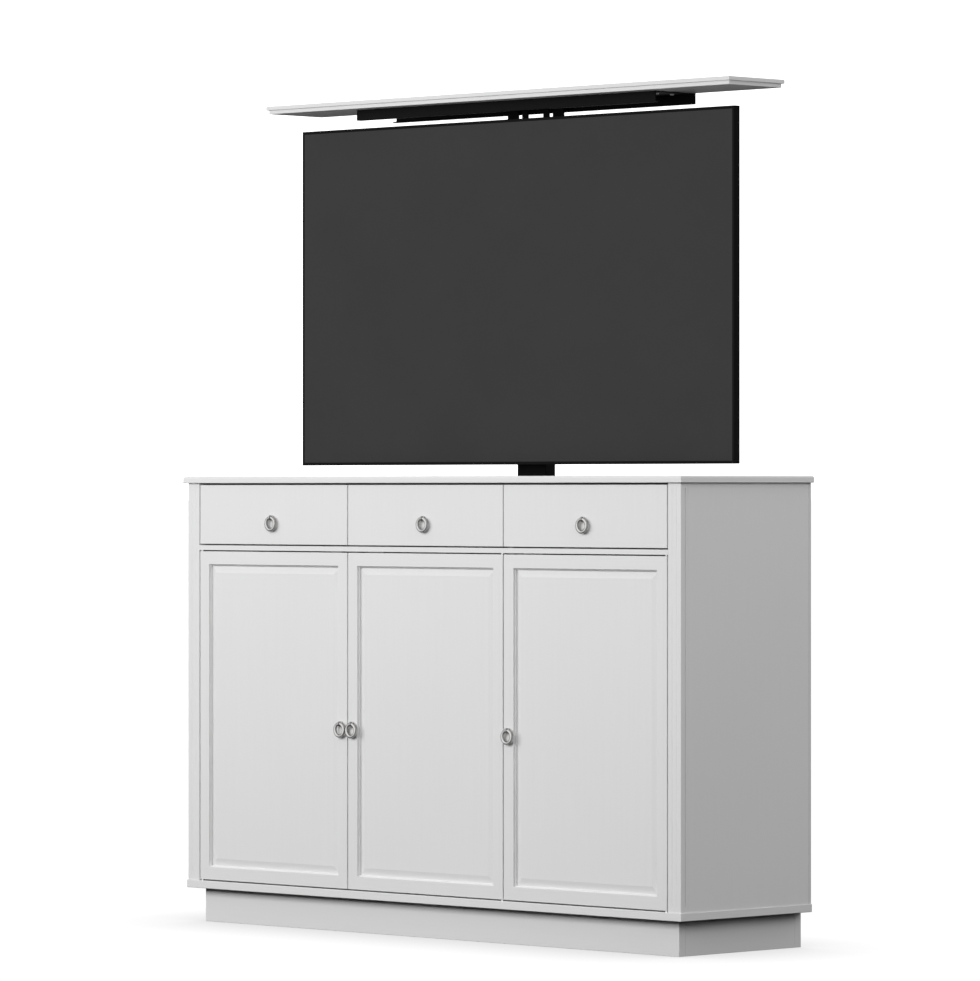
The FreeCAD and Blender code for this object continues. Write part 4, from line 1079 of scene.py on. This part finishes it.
bay_face = Vector((bay.x, cover_back - BAY_DEPTH, bay.z))
bay_plate, socket_cuts = bmesh.new(), bmesh.new()
outline = plate_outline(bay_face, X, Z, BAY_HALF_LENGTH + BAY_LAP, BAY_HALF_HEIGHT + BAY_LAP)
prism(bay_plate, outline, -Y * BAY_PLATE)
rim_foot, hollow_foot = -Y * 0.5 * SOCKET_DEEP, -Y * SOCKET_DEEP
rim_rise, hollow_rise = Y * (SOCKET_PROUD + 0.5 * SOCKET_DEEP), Y * 3 * SOCKET_PROUD
for offset, half_length, half_height in FLAT_SOCKETS:
    place = bay_face + X * (offset * MM)
    rim = (half_length * MM + SOCKET_RIM, half_height * MM + SOCKET_RIM)
    prism(bay_plate, plate_outline(place + rim_foot, X, Z, *rim), rim_rise)
    hollow = (half_length * MM, half_height * MM)
    prism(socket_cuts, plate_outline(place + hollow_foot, X, Z, *hollow), hollow_rise)
for offset, radius in ROUND_SOCKETS:
    place = bay_face + X * (offset * MM)
    rim = radius * MM + SOCKET_RIM
    prism(bay_plate, slot_outline(place + rim_foot, X, Z, rim, rim, ROUND_STEPS), rim_rise)
    hollow = radius * MM
    prism(socket_cuts, slot_outline(place + hollow_foot, X, Z, hollow, hollow, ROUND_STEPS), hollow_rise)
add_piece("cable_bay", bay_plate, "lift_top", [black_plastic], cut=cutter(socket_cuts))

near, far = COVER_SCREW_INSETS
sides_x = (low.x + near, low.x + far, high.x - far, high.x - near)
levels = (low.z + COVER_SCREW_LEVEL, high.z - COVER_SCREW_LEVEL)
seats = [Vector((x, cover_back, z)) for x in sides_x for z in levels]
screw_heads("cover_screws", seats, Y, *COVER_SCREW, PAN_HEAD, "lift_top")

# %% [markdown]
# ### Mount and lid carrier
# The mount is laser-cut plate: its arms have rows of slots for other screw spacings, and its spine has
# oval openings that save weight. The carrier is folded sheet, screwed up into the lid.
# %% Mount, bracket and carrier
STEEL_SOFT = 0.5 * MM
MOUNT_SCREW_X = 200 * MM
MOUNT_HEAD_HEIGHT = 3.5 * MM
ARM_SLOTS_X = (95, 130, 165)
SPINE_OPENINGS = (55, 145, 265, 345)
SPINE_OPENING_X = 52 * MM
CARRIER_SHEET = 2.5 * MM
CARRIER_SCREWS_X = (-400, -240, -110, 110, 240, 400)
CARRIER_SCREW_FRONT = 30 * MM
CARRIER_SCREW_REAR = 42 * MM
CARRIER_SCREW = (4.5 * MM, 2.2 * MM)
ARM_SLOT = (12 * MM, 3.2 * MM)
SPINE_SLOT = (28 * MM, 7 * MM)
PLATE_THROUGH = 6 * MM

low, high = corners_of("tv_mount")
screws_low, screws_high = corners_of("tv_mount_screws")
head_radius = screws_high.x - MOUNT_SCREW_X
arm_levels = (screws_low.z + head_radius, screws_high.z - head_radius)
mount_cuts = bmesh.new()
before_plate = Y * (low.y - MM)
through_plate = Y * PLATE_THROUGH
for sign in (-1, 1):
    for level in arm_levels:
        for x in ARM_SLOTS_X:
            place = before_plate + X * (sign * x * MM) + Z * level
            prism(mount_cuts, slot_outline(place, X, Z, *ARM_SLOT), through_plate)
    for height in SPINE_OPENINGS:
        place = before_plate + X * (sign * SPINE_OPENING_X) + Z * (arm_levels[0] + height * MM)
        prism(mount_cuts, slot_outline(place, Z, X, *SPINE_SLOT), through_plate)
softened("tv_mount", STEEL_SOFT, [powder], cut=cutter(mount_cuts))
for name in ("head_bracket", "lid_carrier"):
    softened(name, STEEL_SOFT, [powder])

head_y = screws_high.y - MOUNT_HEAD_HEIGHT
seats = [Vector((x, head_y, level)) for x in (-MOUNT_SCREW_X, MOUNT_SCREW_X) for level in arm_levels]
replaced = ("tv_mount_screws",)
screw_heads("mount_screw_heads", seats, Y, head_radius, MOUNT_HEAD_HEIGHT, PAN_HEAD, "lift_top", replaced)

low, high = corners_of("lid_carrier")
web_z = high.z - CARRIER_SHEET
rows_y = (low.y + CARRIER_SCREW_FRONT, high.y - CARRIER_SCREW_REAR)
seats = [Vector((x * MM, y, web_z)) for x in CARRIER_SCREWS_X for y in rows_y]
screw_heads("carrier_screws", seats, -Z, *CARRIER_SCREW, PAN_HEAD, "lift_top")

# %% [markdown]
# ### Glides on the column
# Where one tube slides in the next, a moulded glide lines the mouth and stands a little proud of it.
# Each is a sleeve that follows the tube's section, with a rounded rim that laps over the tube's wall.
# %% Glides
TUBE_CORNER = 2.4 * MM
GLIDE_OUTSIDE = [(-2.3, 0.8), (1.5, 0.8), (2.0, 0.3), (2.0, -9.5), (1.5, -10)]
GLIDE_INSIDE = [(0.05, -10), (0.05, 0.05), (-2.3, 0.05)]

for stage, body in (("outer", "cabinet"), ("middle", "lift_middle")):
    low, high = corners_of("lift_%s_tube" % stage)
    mouth = Vector(((low.x + high.x) / 2, (low.y + high.y) / 2, high.z))
    loops = []
    for out, lift in GLIDE_OUTSIDE + GLIDE_INSIDE:
        half_x, half_y = (high.x - low.x) / 2 + out * MM, (high.y - low.y) / 2 + out * MM
        loops.append(rounded_loop(mouth + Z * lift * MM, X, Y, half_x, half_y, TUBE_CORNER + out * MM))
    add_piece("glide_" + stage, loft(bmesh.new(), loops, True), body, [black_plastic])
print("glide section points", len(GLIDE_OUTSIDE + GLIDE_INSIDE))

# %% [markdown]
# ### Catches
# A magnetic catch is a white moulding with a magnet between two steel poles, and it holds a thin plate
# on the door. The poles and the plate are what makes it read as a catch when a door stands open.
# %% Poles and strike plates
POLE_HALF_LENGTH = 16 * MM
POLE_HALF_HEIGHT = 0.9 * MM
POLE_SPACING = 2.6 * MM
PLATE_HALF_LENGTH = 20 * MM
PLATE_HALF_HEIGHT = 4.5 * MM
SHEET_PROUD = 0.1 * MM
SHEET_DEEP = 0.5 * MM
POLE_LEVEL = 6 * MM

catches = copy_of("door_catches")
poles = bmesh.new()
plates = []
for part in loose_parts(catches):
    points = [vert.co for face in part for vert in face.verts]
    face_y = min(point.y for point in points)
    middle_x = (min(point.x for point in points) + max(point.x for point in points)) / 2
    plates.append(middle_x)
    level = min(point.z for point in points) + POLE_LEVEL
    for sign in (-1, 1):
        place = Vector((middle_x, face_y - SHEET_PROUD, level + sign * POLE_SPACING))
        outline = slot_outline(place, X, Z, POLE_HALF_LENGTH, POLE_HALF_HEIGHT)
        prism(poles, outline, Y * (SHEET_PROUD + SHEET_DEEP))
catches.free()
add_piece("catch_poles", poles, "cabinet", [zinc])
for side, x in zip(("left", "middle", "right"), sorted(plates)):
    back_y = corners_of("door_frame_" + side)[1].y
    place = Vector((x, back_y + SHEET_PROUD, level))
    outline = slot_outline(place, X, Z, PLATE_HALF_LENGTH, PLATE_HALF_HEIGHT)
    plate = prism(bmesh.new(), outline, -Y * (SHEET_PROUD + SHEET_DEEP))
    add_piece("strike_plate_" + side, plate, "door_" + side, [zinc])
print("catches", len(plates))

# %% [markdown]
# ## Sizes
# The dressed cabinet must not outgrow the frame. Its box is printed beside the frame's own box.
# %% Sizes
boxes = {"cad": cad_box, "visual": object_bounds()}
for kind, (low, high) in boxes.items():
    print(kind, ["%.1f" % ((high[axis] - low[axis]) / MM) for axis in range(3)], "mm")
